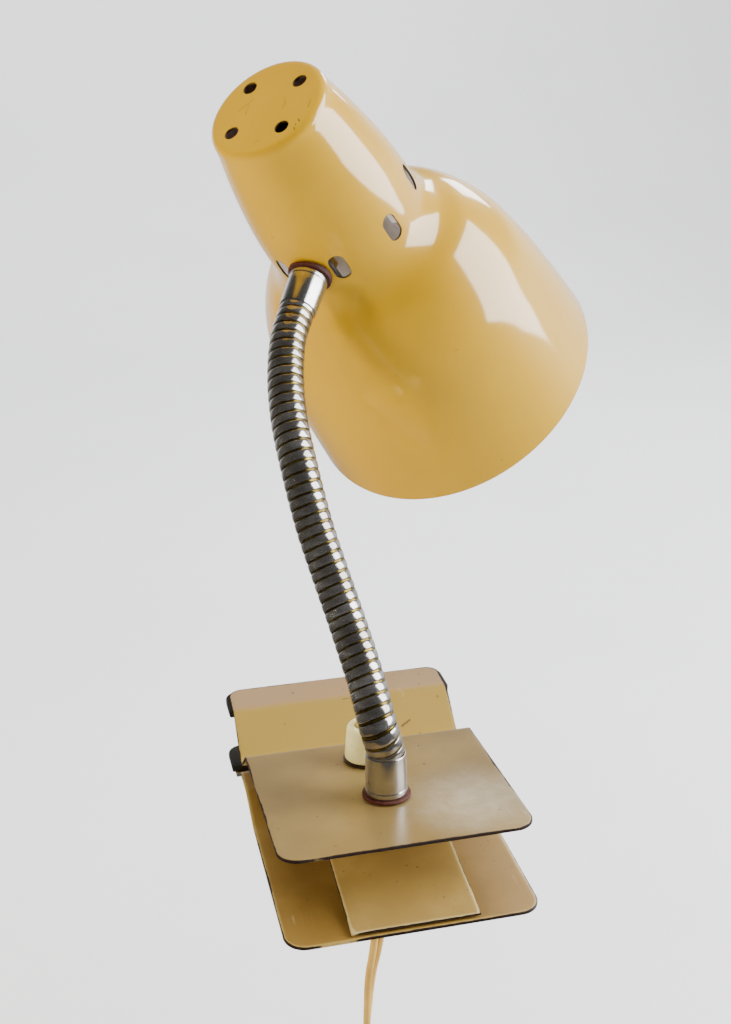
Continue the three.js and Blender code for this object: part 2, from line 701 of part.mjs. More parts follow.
// ---------------------------------------------------------------- bulb
const capRadius = threadOuter - 0.6 - gap;
const capFoot = contactAt;
const glassFoot = capFoot + 24;
addPart(head, 'bulb_cap', turned([
  [0, capFoot],
  [3.4, capFoot],
  [4.2, capFoot + 1.2],
  [capRadius - 3, capFoot + 3.5],
  [capRadius, capFoot + 5],
  [capRadius, glassFoot],
  [capRadius - 0.9, glassFoot],
  [capRadius - 0.9, capFoot + 6],
  [0, capFoot + 4.6],
]), brass);
const bulbTip = capFoot + bulbLength;
const globeCentre = bulbTip - bulbRadius;
const bulbNeck = capRadius - 0.9 - gap;
const joinAngle = 50;
const globe = [];
for (let i = 0; i <= 8; i += 1) {
  const angle = degrees(-joinAngle + (90 + joinAngle) * i / 8);
  globe.push([bulbRadius * Math.cos(angle), globeCentre + bulbRadius * Math.sin(angle)]);
}
globe[globe.length - 1][0] = 0;
const shoulder = blendLine([
  [bulbNeck, glassFoot - 8],
  [bulbNeck, glassFoot + 2],
  [bulbNeck + 1.6, glassFoot + 9],
  [globe[0][0] - 3.2, globe[0][1] - 4],
  globe[0],
], 5);
addPart(head, 'bulb_glass', turned([[0, glassFoot - 8], ...shoulder, ...globe.slice(1)]),
  frostedGlass);

// ---------------------------------------------------------------- cord
const lowerHandleTop = lowerTopZ(gripY);
const lowerHandleUnder = lowerHandleTop - sheet;
addPart(lamp, 'cord_grip', turned([
  [cordWidth / 2 + 0.4, lowerHandleTop + 1.6],
  [gripHole + 2.4, lowerHandleTop + 1.6],
  [gripHole + 2.4, lowerHandleTop + gap],
  [gripHole, lowerHandleTop + gap],
  [gripHole, lowerHandleUnder - gap],
  [gripHole + 2.4, lowerHandleUnder - gap],
  [gripHole + 2.2, lowerHandleUnder - 2],
  [cordWidth / 2 + 1.1, lowerHandleUnder - gripTail],
  [cordWidth / 2 + 0.4, lowerHandleUnder - gripTail],
].reverse(), 24).translate(0, gripY, 0), cordPlastic);

// The cord hangs from the grip to the hank. Every point is on its middle line.
const cordPoints = [
  [0, -62, -43],
  [0.3, -62, -50],
  [0.4, -62, -57.5],
  [0.2, -61.9, -65],
  [-0.9, -61.6, -73],
  [-2.1, -61.1, -80.5],
  [-2.8, -60.6, -88],
  [-3.2, -60.1, -96],
  [-3.6, -59.7, -104],
  [-3.8, -59.4, -112],
  [-3.9, -59.2, -119],
  [-4.0, -59.1, -125],
  [-4.0, -59.1, -133],
];
const cordRoute = new THREE.CatmullRomCurve3(cordPoints.map((p) => new THREE.Vector3(...p)));
const flat = new THREE.Shape();
const cordHalf = (cordWidth - cordThickness) / 2;
flat.absarc(0, cordHalf, cordThickness / 2, 0, Math.PI, false);
flat.absarc(0, -cordHalf, cordThickness / 2, Math.PI, 2 * Math.PI, false);
addPart(lamp, 'power_cord', new THREE.ExtrudeGeometry(new THREE.Shape(flat.getPoints(3)), {
  steps: 13, extrudePath: cordRoute,
}), cordPlastic);

// The hank hangs with the cord running into its rear turns, and the plug under them.
const cordEnd = cordRoute.getPoint(1);
const hankX = cordEnd.x;
const hankY = cordEnd.y + hankDepth / 2 - cordWidth / 2;
const hankTop = cordEnd.z - gap;
const hank = new THREE.Shape();
const hankRound = hankWidth / 2;
hank.absarc(hankX, hankTop - hankRound, hankRound, 0, Math.PI, false);
hank.absarc(hankX, hankTop - hankHeight + hankRound, hankRound, Math.PI, 2 * Math.PI, false);
const hankBody = new THREE.ExtrudeGeometry(new THREE.Shape(hank.getPoints(10)),
  { depth: hankDepth, bevelEnabled: false })
  .rotateX(Math.PI / 2).translate(0, hankY + hankDepth / 2, 0);
const hankMiddle = hankTop - hankHeight / 2;
const tieX = hankWidth / 2 + tieWall;
const tieY = hankDepth / 2 + tieWall;
const tieRoom = (grow) => box(hankX - tieX - grow, hankX + tieX + grow,
  hankY - tieY - grow, hankY + tieY + grow,
  hankMiddle - tieHeight / 2 - grow, hankMiddle + tieHeight / 2 + grow);
addPart(lamp, 'cord_hank', hankBody, cordPlastic);
addPart(lamp, 'hank_tie', cut(tieRoom(0), box(
  hankX - tieX + tieWall - gap, hankX + tieX - tieWall + gap,
  hankY - tieY + tieWall - gap, hankY + tieY - tieWall + gap,
  hankMiddle - tieHeight, hankMiddle + tieHeight)), creamPlastic);

// ---------------------------------------------------------------- plug
const plug = new THREE.Group();
plug.position.set(hankX, cordEnd.y, hankTop - hankHeight - gap);
lamp.add(plug);
const plugLength = 34;
addPart(plug, 'plug_body', turned([
  [0, 0],
  [cordWidth / 2 + 1.6, 0],
  [cordWidth / 2 + 3.2, -10],
  [12.6, -14],
  [15.5, -20],
  [16.5, -plugLength + 2],
  [15.5, -plugLength],
  [0, -plugLength],
].reverse()), creamPlastic);
for (const [name, side] of [['plug_pin_left', -1], ['plug_pin_right', 1]]) {
  addPart(plug, name, turned([
    [0, -plugLength - gap - plugPinLength],
    [plugPinRadius - 0.8, -plugLength - gap - plugPinLength],
    [plugPinRadius, -plugLength - gap - plugPinLength + 1.2],
    [plugPinRadius, -plugLength - gap],
    [0, -plugLength - gap],
  ], 16).translate(side * plugPinSpacing / 2, 0, 0), brass);
}

export default lamp;
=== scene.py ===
import math

import bmesh
import bpy
import numpy as np
from mathutils import Matrix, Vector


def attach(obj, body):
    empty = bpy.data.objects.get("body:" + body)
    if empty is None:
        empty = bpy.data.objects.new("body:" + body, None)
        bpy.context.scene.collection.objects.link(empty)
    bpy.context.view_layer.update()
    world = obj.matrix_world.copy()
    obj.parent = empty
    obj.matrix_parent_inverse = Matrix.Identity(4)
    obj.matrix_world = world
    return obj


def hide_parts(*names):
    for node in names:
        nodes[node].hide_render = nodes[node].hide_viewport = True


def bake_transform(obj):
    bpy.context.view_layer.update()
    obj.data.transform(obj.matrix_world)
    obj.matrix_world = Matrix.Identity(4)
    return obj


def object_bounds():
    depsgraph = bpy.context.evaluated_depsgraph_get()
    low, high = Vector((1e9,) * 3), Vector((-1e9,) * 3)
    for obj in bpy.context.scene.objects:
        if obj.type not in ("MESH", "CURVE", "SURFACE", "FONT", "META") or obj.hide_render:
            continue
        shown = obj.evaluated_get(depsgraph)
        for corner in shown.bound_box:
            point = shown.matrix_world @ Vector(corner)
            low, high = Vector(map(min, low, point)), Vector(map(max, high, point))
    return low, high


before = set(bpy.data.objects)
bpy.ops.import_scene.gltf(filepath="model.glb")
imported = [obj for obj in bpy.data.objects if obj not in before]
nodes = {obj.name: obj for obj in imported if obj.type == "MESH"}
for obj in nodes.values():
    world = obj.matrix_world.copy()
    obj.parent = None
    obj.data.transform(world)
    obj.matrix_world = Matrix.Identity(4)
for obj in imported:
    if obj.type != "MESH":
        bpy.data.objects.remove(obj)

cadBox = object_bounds()
mm = 0.001


def unit(v):
    v = np.asarray(v, float)
    return v / np.linalg.norm(v, axis=-1, keepdims=True)


def tint(code):
    # an sRGB hex code as linear red, green, blue and alpha
    part = np.array([int(code[i:i + 2], 16) for i in (1, 3, 5)]) / 255
    part = np.where(part <= 0.04045, part / 12.92, ((part + 0.055) / 1.055) ** 2.4)
    return (*part.tolist(), 1.0)


# camera and light

view = {
    "place": (-0.0945, -0.4554, 0.2590),
    "turn": 13.16,      # degrees to the right of +Y
    "tilt": -21.53,     # below level
    "roll": -0.65,
    "lens": 48.4,
}


def makeCamera():
    turn, tilt, roll = (math.radians(view[k]) for k in ("turn", "tilt", "roll"))
    forward = np.array([math.sin(turn) * math.cos(tilt), math.cos(turn) * math.cos(tilt),
                        math.sin(tilt)])
    level = np.array([math.cos(turn), -math.sin(turn), 0.0])
    upright = np.cross(level, forward)
    right = level * math.cos(roll) + upright * math.sin(roll)
    up = upright * math.cos(roll) - level * math.sin(roll)
    data = bpy.data.cameras.new("camera")
    data.lens = view["lens"]
    data.clip_start = 0.01
    camera = bpy.data.objects.new("camera", data)
    bpy.context.collection.objects.link(camera)
    camera.matrix_world = Matrix((
        (right[0], up[0], -forward[0], view["place"][0]),
        (right[1], up[1], -forward[1], view["place"][1]),
        (right[2], up[2], -forward[2], view["place"][2]),
        (0, 0, 0, 1)))
    bpy.context.scene.camera = camera


makeCamera()

# every lamp is a soft box that looks at its target
lights = {
    "window": {"at": (1.36, -0.36, 0.70), "size": (1.15, 1.5), "power": 62, "tint": "#ffffff",
               "mirrored": True, "target": (0.03, 0.0, 0.06)},
    "backWindow": {"at": (1.00, 1.35, 0.95), "size": (0.45, 0.5), "power": 9,
                   "tint": "#f4f7ff", "mirrored": True, "target": (0.02, -0.08, 0.0)},
    "skylight": {"at": (0.35, -0.15, 1.6), "size": (1.3, 1.3), "power": 5, "tint": "#f6f8ff",
                 "mirrored": False, "target": (0.03, 0.0, 0.06)},
    "fill": {"at": (-1.20, 0.05, -0.03), "size": (0.5, 0.5), "power": 10, "tint": "#fff0cf",
             "mirrored": False, "target": (0.03, 0.0, 0.10)},
    "leftKey": {"at": (-1.16, -0.36, 0.50), "size": (0.22, 0.22), "power": 10,
                "tint": "#fff3da", "mirrored": False, "target": (0.03, 0.0, 0.12)},
    "wallWash": {"at": (0.2, 0.75, 2.2), "size": (2.5, 0.6), "power": 105, "tint": "#ffffff",
                 "mirrored": False, "target": (0.6, 2.4, 0.0)},
}


def makeLights():
    for name, box in lights.items():
        data = bpy.data.lights.new(name, "AREA")
        data.shape = "RECTANGLE"
        data.size, data.size_y = box["size"]
        data.energy = box["power"]
        data.color = tint(box["tint"])[:3]
        lamp = bpy.data.objects.new(name, data)
        bpy.context.collection.objects.link(lamp)
        lamp.visible_glossy = box["mirrored"]
        back = unit(np.array(box["at"]) - box["target"])
        side = unit(np.cross((0, 0, 1), back))
        up = np.cross(back, side)
        lamp.matrix_world = Matrix([[side[i], up[i], back[i], box["at"][i]] for i in range(3)]
                                   + [[0, 0, 0, 1]])


makeLights()
print("camera and lights made")

# meshes worked out with numpy


def makePiece(name, points, faces, materials, smoothBelow=35, merge=True, solid=True,
              attributes=None):
    # points and faces become a mesh object at the origin; doubled points are merged
    mesh = bpy.data.meshes.new(name)
    faces = faces if isinstance(faces, list) else faces.tolist()
    mesh.from_pydata(points.tolist(), [], faces)
    obj = bpy.data.objects.new(name, mesh)
    bpy.context.collection.objects.link(obj)
    for material in materials:
        mesh.materials.append(material)
    for label, values in (attributes or {}).items():
        addAttribute(obj, label, values)
    if merge:
        cleanMesh(mesh, solid)
    smoothen(obj, smoothBelow)
    return obj


def cleanMesh(mesh, solid):
    work = bmesh.new()
    work.from_mesh(mesh)
    bmesh.ops.remove_doubles(work, verts=work.verts, dist=2e-6)
    bmesh.ops.dissolve_degenerate(work, edges=work.edges, dist=1e-7)
    if solid:
        bmesh.ops.recalc_face_normals(work, faces=work.faces)
    work.to_mesh(mesh)
    work.free()


def smoothen(obj, degreesBelow):
    obj.data.shade_smooth()
    obj.data.set_sharp_from_angle(angle=math.radians(degreesBelow))


def applyModifiers(obj, degreesBelow=35):
    graph = bpy.context.evaluated_depsgraph_get()
    made = bpy.data.meshes.new_from_object(obj.evaluated_get(graph),
                                           preserve_all_data_layers=True, depsgraph=graph)
    obj.modifiers.clear()
    obj.data = made
    smoothen(obj, degreesBelow)
    return obj


def addWall(obj, thickness, offset, even=False):
    wall = obj.modifiers.new("wall", "SOLIDIFY")
    wall.thickness, wall.offset, wall.use_even_offset = thickness * mm, offset, even
    return wall


def addBevel(obj, width, segments):
    # only edges that turn more than 55 degrees are rounded
    soften = obj.modifiers.new("soft edge", "BEVEL")
    soften.width, soften.segments, soften.angle_limit = width * mm, segments, math.radians(55)


def addAttribute(obj, name, values):
    layer = obj.data.attributes.new(name, "FLOAT", "POINT")
    layer.data.foreach_set("value", np.asarray(values, np.float32))


def joinPieces(first, *others):
    with bpy.context.temp_override(active_object=first, object=first,
                                   selected_objects=[first, *others],
                                   selected_editable_objects=[first, *others]):
        bpy.ops.object.join()
    return first


def gridFaces(rows, columns, start=0):
    # four-sided faces of a grid of points stored row by row
    corner = (np.arange(rows - 1)[:, None] * columns + np.arange(columns - 1)).ravel() + start
    return np.stack([corner, corner + 1, corner + 1 + columns, corner + columns], 1)


def rounded(corners, steps=6, closed=False):
    # corners are (a, b, radius): each is replaced by an arc that touches both its sides,
    # its centre on the line that halves the corner, radius / sin(half angle) away
    count = len(corners)
    spots = [np.array(c[:2], float) for c in corners]
    line = []
    for i, spot in enumerate(spots):
        radius = corners[i][2] if len(corners[i]) > 2 else 0
        if radius == 0 or (not closed and i in (0, count - 1)):
            line.append(spot[None])
            continue
        before, after = spots[i - 1] - spot, spots[(i + 1) % count] - spot
        room = 0.49 * min(np.linalg.norm(before), np.linalg.norm(after))
        before, after = unit(before), unit(after)
        half = math.acos(np.clip(before @ after, -1, 1)) / 2
        reach = min(radius / math.tan(half), room)
        radius = reach * math.tan(half)
        centre = spot + unit(before + after) * radius / math.sin(half)
        a, b = spot + before * reach - centre, spot + after * reach - centre
        swing = math.atan2(a[0] * b[1] - a[1] * b[0], a @ b)
        turn = swing * np.linspace(0, 1, steps + 1)[:, None]
        line.append(centre + a * np.cos(turn) + np.array([-a[1], a[0]]) * np.sin(turn))
    return np.concatenate(line)


def closedLoop(line):
    return np.vstack([line, line[:1]])


def latheGrid(profile, sides):
    # profile (radius, height) turned once: x = radius cos(turn), y = radius sin(turn)
    turn = np.linspace(0, 2 * np.pi, sides + 1)
    radius, height = profile[:, :1], profile[:, 1:]
    points = np.stack([radius * np.cos(turn), radius * np.sin(turn),
                       height + 0 * turn], -1)
    return points.reshape(-1, 3), gridFaces(len(profile), sides + 1)


def placed(points, spot):
    origin, axes = spot
    return origin + points @ axes


def turnedPiece(name, corners, spot, material, sides=96, closed=True):
    # corners are (radius, height, rounding) in millimetres, turned about the spot's axis
    profile = rounded(corners, closed=closed) * mm
    if closed:
        profile = closedLoop(profile)
    points, faces = latheGrid(profile, sides)
    return makePiece(name, placed(points, spot), faces, [material])


def distances(line):
    # how far along a line of points each of them lies
    return np.r_[0, np.cumsum(np.linalg.norm(np.diff(line, axis=0), axis=1))]


def alongLine(line, s):
    # the points at distances s along a line of points
    steps = distances(line)
    return np.stack([np.interp(s, steps, line[:, k]) for k in range(line.shape[1])], -1)


def lengthOf(line):
    return float(np.linalg.norm(np.diff(line, axis=0), axis=1).sum())


def routeThrough(points, perPart=40):
    # centripetal Catmull-Rom: between neighbours a cubic whose end slopes come from the
    # points before and after, weighed by the square roots of the distances
    p = np.asarray(points, float)
    p = np.vstack([2 * p[0] - p[1], p, 2 * p[-1] - p[-2]])
    a, b, c, d = p[:-3, None], p[1:-2, None], p[2:-1, None], p[3:, None]
    ab, bc, cd = (np.sqrt(np.linalg.norm(q - r, axis=-1, keepdims=True))
                  for q, r in ((b, a), (c, b), (d, c)))
    slopeB = ((b - a) / ab - (c - a) / (ab + bc) + (c - b) / bc) * bc
    slopeC = ((c - b) / bc - (d - b) / (bc + cd) + (d - c) / cd) * bc
    u = np.linspace(0, 1, perPart, endpoint=False)[None, :, None]
    line = ((2 * u**3 - 3 * u**2 + 1) * b + (u**3 - 2 * u**2 + u) * slopeB
            + (3 * u**2 - 2 * u**3) * c + (u**3 - u**2) * slopeC)
    return np.vstack([line.reshape(-1, 3), p[-2]])


def holedSheet(us, vs, holes):
    # a grid in two parameters with round-ended holes: each hole's window of cells is
    # replaced by rings that run from the window's edge to the hole's outline, worked out
    # in the hole's own flat millimetres
    columns = len(us)
    grid = np.stack(np.broadcast_arrays(us[None], vs[:, None]), -1).reshape(-1, 2)
    faces = gridFaces(len(vs), columns)
    keep = np.ones((len(vs) - 1, columns - 1), bool)
    points, patches = [grid], []
    count = len(grid)
    for hole in holes:
        (u0, u1), (v0, v1) = hole["window"]
        i0, i1 = (int(np.argmin(abs(us - u))) for u in (u0, u1))
        j0, j1 = (int(np.argmin(abs(vs - v))) for v in (v0, v1))
        keep[j0:j1, i0:i1] = False
        if "radius" not in hole:
            continue
        edge = np.concatenate([
            j0 * columns + np.arange(i0, i1), np.arange(j0, j1) * columns + i1,
            j1 * columns + np.arange(i1, i0, -1), np.arange(j1, j0, -1) * columns + i0])
        flat = hole.get("flat", lambda p: p)
        unflat = hole.get("unflat", lambda q: q)
        out = flat(grid[edge]) - np.array(hole["centre"])
        way = unit(out)
        r, h = hole["radius"], hole.get("straight", 0)
        side = r / np.maximum(abs(way[:, 0]), 1e-9)
        end = h * abs(way[:, 1]) + np.sqrt(np.maximum(r**2 - (h * way[:, 0])**2, 0))
        reach = np.where(side * abs(way[:, 1]) <= h, side, end)[:, None]
        rings = 5
        step = (np.arange(1, rings + 1) / rings)[:, None, None] ** 0.8
        local = out + (way * reach - out) * step
        points.append(unflat(local + np.array(hole["centre"])).reshape(-1, 2))
        n = len(edge)
        ids = np.vstack([edge, count + np.arange(rings * n).reshape(rings, n)])
        after = np.roll(ids, -1, axis=1)
        patches.append(np.stack([ids[:-1], after[:-1], after[1:], ids[1:]], -1).reshape(-1, 4))
        count += rings * n
    return np.concatenate(points), np.concatenate([faces[keep.ravel()], *patches])


# materials


number, vector, colour = "NodeSocketFloat", "NodeSocketVector", "NodeSocketColor"
maskOnly = [("Mask", number)]


def maker(tree):
    def make(kind, links=None, **settings):
        node = tree.nodes.new(kind)
        for key, value in settings.items():
            setattr(node, key, value)
        for socket, value in (links or {}).items():
            if isinstance(value, bpy.types.NodeSocket):
                tree.links.new(value, node.inputs[socket])
            else:
                node.inputs[socket].default_value = value
        return node
    return make


def mathNode(make, operation, a, b=None, c=None, clamp=False):
    links = {0: a}
    if b is not None:
        links[1] = b
    if c is not None:
        links[2] = c
    return make("ShaderNodeMath", links, operation=operation, use_clamp=clamp).outputs[0]


def times(make, a, b):
    return mathNode(make, "MULTIPLY", a, b)


def plus(make, a, b):
    return mathNode(make, "ADD", a, b)


def minus(make, a, b):
    return mathNode(make, "SUBTRACT", a, b)


def scaled(make, value, slope, offset):
    return mathNode(make, "MULTIPLY_ADD", value, slope, offset)


def smoothStep(make, value, low, high, fromTo=(0.0, 1.0)):
    return make("ShaderNodeMapRange",
                {"Value": value, "From Min": low, "From Max": high,
                 "To Min": fromTo[0], "To Max": fromTo[1]},
                interpolation_type="SMOOTHSTEP").outputs["Result"]


def mixColour(make, factor, a, b):
    return make("ShaderNodeMix", {0: factor, 6: a, 7: b}, data_type="RGBA").outputs[2]


def noiseNode(make, place, scale, detail=3.0, roughness=0.5):
    return make("ShaderNodeTexNoise", {"Vector": place, "Scale": scale, "Detail": detail,
                                       "Roughness": roughness}).outputs["Fac"]


def newGroup(name, inputs, outputs, build):
    # build(make, given) returns the socket behind each output, in their order
    inputs = [("Vector", vector, None), *inputs]
    tree = bpy.data.node_groups.new(name, "ShaderNodeTree")
    for label, kind, value in inputs:
        socket = tree.interface.new_socket(label, in_out="INPUT", socket_type=kind)
        if value is not None:
            socket.default_value = value
    for label, kind in outputs:
        tree.interface.new_socket(label, in_out="OUTPUT", socket_type=kind)
    make = maker(tree)
    given, out = make("NodeGroupInput").outputs, make("NodeGroupOutput").inputs
    for socket, (label, _) in zip(build(make, given), outputs):
        tree.links.new(socket, out[label])
    return tree


def mottle(make, given):
    # two colours in soft patches
    wide = noiseNode(make, given["Vector"], given["Scale"], 4.0, 0.55)
    low = times(make, scaled(make, given["Contrast"], -0.5, 0.5), 0.9)
    high = scaled(make, given["Contrast"], -0.5, 1.0)
    mask = smoothStep(make, wide, low, high)
    return mixColour(make, mask, given["First"], given["Second"]), mask


def chips(make, given):
    # a mask along an edge whose distance is given in metres: the reach wanders with noise
    fine = noiseNode(make, given["Vector"], given["Scale"], 5.0, 0.65)
    patch = scaled(make, noiseNode(make, given["Vector"], 38.0, 2.0), 5.0, -2.6)
    wander = times(make, scaled(make, fine, 2.0, -1.0), given["Wander"])
    reach = times(make, plus(make, plus(make, wander, 1.0), patch), given["Reach"])
    room = minus(make, reach, given["Distance"])
    return [smoothStep(make, room, -0.00008, 0.00012)]


def specks(make, given):
    # round dots in some cells of a Voronoi pattern, each with its own size
    cells = make("ShaderNodeTexVoronoi", {"Vector": given["Vector"], "Scale": given["Scale"]})
    lot = make("ShaderNodeSeparateColor", {0: cells.outputs["Color"]})
    chosen = mathNode(make, "LESS_THAN", lot.outputs[0], given["Share"])
    size = times(make, given["Size"], lot.outputs[1])
    dot = smoothStep(make, minus(make, size, cells.outputs["Distance"]), 0.0, 0.08)
    return [times(make, chosen, dot)]


def scratches(make, given):
    # thin broken lines: a noise drawn out about eightyfold, kept near its middle value
    turned = make("ShaderNodeMapping", {"Vector": given["Vector"], "Rotation": given["Turn"],
                                        "Scale": (1.0, 0.012, 1.0)})
    lines = noiseNode(make, turned.outputs[0], given["Scale"], 1.0)
    off = mathNode(make, "ABSOLUTE", minus(make, lines, 0.5))
    line = smoothStep(make, minus(make, given["Width"], off), 0.0, 0.006)
    low = minus(make, 0.85, times(make, given["Share"], 0.5))
    patch = smoothStep(make, noiseNode(make, given["Vector"], 55.0), low, plus(make, low, 0.12))
    return [times(make, line, patch)]


def stroke(make, given):
    # one mark from Start to End: distance to that stretch, with a ragged outline
    def vec(operation, a, b, output=0):
        return make("ShaderNodeVectorMath", {0: a, 1: b}, operation=operation).outputs[output]

    along = vec("SUBTRACT", given["End"], given["Start"])
    off = vec("SUBTRACT", given["Vector"], given["Start"])
    share = mathNode(make, "DIVIDE", vec("DOT_PRODUCT", off, along, "Value"),
                     vec("DOT_PRODUCT", along, along, "Value"), clamp=True)
    foot = make("ShaderNodeVectorMath", {0: along, 3: share}, operation="SCALE").outputs[0]
    away = mathNode(make, "DIVIDE", vec("DISTANCE", off, foot, "Value"), given["Width"])
    wander = times(make, noiseNode(make, given["Vector"], 1400.0), given["Ragged"])
    return [smoothStep(make, plus(make, away, wander), 1.25, 0.6)]


groups = {
    "mottle": newGroup("mottle", [
        ("Scale", number, 40.0), ("Contrast", number, 0.5), ("First", colour, None),
        ("Second", colour, None)], [("Colour", colour), ("Mask", number)], mottle),
    "chips": newGroup("chippedEdge", [
        ("Distance", number, 0.0), ("Reach", number, 0.0006), ("Wander", number, 1.2),
        ("Scale", number, 260.0)], maskOnly, chips),
    "specks": newGroup("specks", [
        ("Scale", number, 180.0), ("Share", number, 0.2), ("Size", number, 0.3)],
        maskOnly, specks),
    "scratches": newGroup("scratches", [
        ("Turn", vector, None), ("Scale", number, 900.0), ("Width", number, 0.012),
        ("Share", number, 0.5)], maskOnly, scratches),
    "stroke": newGroup("stroke", [
        ("Start", vector, None), ("End", vector, None), ("Width", number, 0.0006),
        ("Ragged", number, 0.6)], maskOnly, stroke),
}


class Finish:
    # one material: its shader, its Object coordinates, and short ways to add to them
    def __init__(self, name, **sockets):
        self.material = bpy.data.materials.new(name)
        self.material.use_nodes = True
        self.tree = self.material.node_tree
        self.make = maker(self.tree)
        self.shader = self.tree.nodes["Principled BSDF"]
        for socket, value in sockets.items():
            self.shader.inputs[socket.replace("_", " ")].default_value = value
        self.place = self.make("ShaderNodeTexCoord").outputs["Object"]

    def group(self, name, **inputs):
        return self.make("ShaderNodeGroup", {"Vector": self.place, **inputs},
                         node_tree=groups[name]).outputs

    def mask(self, name, **inputs):
        return self.group(name, **inputs)["Mask"]

    def mottle(self, scale, contrast, first, second):
        return self.group("mottle", Scale=scale, Contrast=contrast, First=tint(first),
                          Second=tint(second))

    def specks(self, scale, share, size):
        return self.mask("specks", Scale=scale, Share=share, Size=size)

    def scratches(self, turn, scale, share):
        return self.mask("scratches", Turn=turn, Scale=scale, Share=share)

    def over(self, base, mask, share, code):
        # the coloured share of a mask laid over the base colour
        if share < 1:
            mask = times(self.make, mask, share)
        return mixColour(self.make, mask, base, tint(code))

    def attribute(self, name):
        return self.make("ShaderNodeAttribute", attribute_name=name).outputs["Fac"]

    def noise(self, scale, detail=3.0, roughness=0.5):
        return noiseNode(self.make, self.place, scale, detail, roughness)

    def wavering(self, value, swing, least):
        # a value from 0 to 1 brought to the range from least to least + swing
        return scaled(self.make, value, swing, least)

    def axis(self, index):
        return self.make("ShaderNodeSeparateXYZ", {0: self.place}).outputs[index]

    def feed(self, socket, value):
        self.tree.links.new(value, self.shader.inputs[socket])

    def bump(self, height, distance):
        node = self.make("ShaderNodeBump", {"Height": height, "Distance": distance})
        self.feed("Normal", node.outputs[0])

    def done(self, base, rough, height=None, distance=0.0):
        self.feed("Base Color", base)
        self.feed("Roughness", rough)
        if height:
            self.bump(height, distance)
        return self.material


paint = {
    # the flank and tip colours are painted light on the jaw of the upper plate
    "handle": "#8e7746", "handleDark": "#7c663a", "flank": "#ac9045", "tip": "#a0845d",
    # the pale third colour on the next line is a painted reflection on the handle
    "bare": "#2a1c16", "worn": "#d6c8a8", "sheenTint": "#bdb6a2", "dirt": "#5d4b31",
    "mark": "#54462f", "line": "#d9c69a",
    # the first four values bound the painted light on the jaw's flank and tip
    "flankFrom": -0.034, "flankTo": -0.028, "tipFrom": -0.0095, "tipTo": -0.0065,
    # the next three values place that painted reflection on the handle
    "sheenAt": (0.026, -0.088, 0.004), "sheenReach": 0.036, "sheenFull": 0.012,
}
# marks on the upper plate: start, end and half width
plateMarks = [((0.0003, -0.0091, 0.0035), (0.0039, -0.0088, 0.0038), 0.0006),
              ((0.0207, -0.0190, -0.0054), (0.0241, -0.0176, -0.0041), 0.0007),
              ((0.0100, -0.0140, -0.0009), (0.0109, -0.0139, -0.0009), 0.0004),
              ((-0.0365, -0.0600, 0.0037), (-0.0335, -0.0600, 0.0037), 0.0004),
              ((-0.0160, -0.0915, 0.0060), (-0.0157, -0.0917, 0.0060), 0.0007),
              ((-0.0125, -0.0918, 0.0061), (-0.0122, -0.0919, 0.0061), 0.0006),
              ((-0.0230, -0.0905, 0.0060), (-0.0228, -0.0906, 0.0060), 0.0005)]


def beigePaint():
    f = Finish("beigePaint", Coat_Weight=0.5, Coat_Roughness=0.22, Specular_IOR_Level=0.3)
    make = f.make
    y = f.axis(1)
    # painted light: the jaw's flank and tip get lighter tones than the handle for the light they
    # catch
    flank = smoothStep(make, y, paint["flankFrom"], paint["flankTo"])
    tip = smoothStep(make, y, paint["tipFrom"], paint["tipTo"])
    base = f.mottle(34.0, 0.7, paint["handle"], paint["handleDark"])["Colour"]
    base = f.over(f.over(base, flank, 1, paint["flank"]), tip, 1, paint["tip"])
    # painted reflection: a pale patch on the rear right of the handle stands for the gloss of a
    # bright window, and the paint is a little rougher there
    spot = make("ShaderNodeVectorMath", {0: f.place, 1: paint["sheenAt"]},
                operation="DISTANCE").outputs["Value"]
    paintedSheen = smoothStep(make, scaled(make, f.noise(120.0, 6.0, 0.7), 0.014, spot),
                     paint["sheenReach"], paint["sheenFull"])
    paintedSheen = times(make, paintedSheen, smoothStep(make, f.noise(150.0, 5.0, 0.7), 0.3, 0.7, (0.55, 1.0)))
    base = f.over(base, paintedSheen, 0.5, paint["sheenTint"])
    base = f.over(base, f.scratches((0.3, 0.1, 0.8), 700.0, 0.45), 0.35, paint["worn"])
    base = f.over(base, f.specks(520.0, 0.06, 0.34), 0.5, paint["dirt"])
    base = f.over(base, f.specks(170.0, 0.06, 0.16), 0.85, paint["bare"])
    for start, end, width in plateMarks:
        mark = f.mask("stroke", Start=start, End=end, Width=width)
        base = f.over(base, mark, 0.8, paint["mark"])
    chip = f.mask("chips", Distance=f.attribute("edge"), Reach=0.00045)
    base = f.over(base, chip, 1, paint["bare"])
    rough = scaled(make, paintedSheen, 0.12, f.wavering(f.noise(45.0, 4.0), 0.22, 0.24))
    f.feed("Coat Weight", f.wavering(chip, -0.5, 0.5))
    peel = times(make, f.noise(520.0, 2.0), 0.15)
    wave = scaled(make, f.noise(28.0, 1.0), 1.6, peel)
    return f.done(base, scaled(make, chip, 0.3, rough),
                  minus(make, wave, times(make, chip, 0.5)), 0.00022)


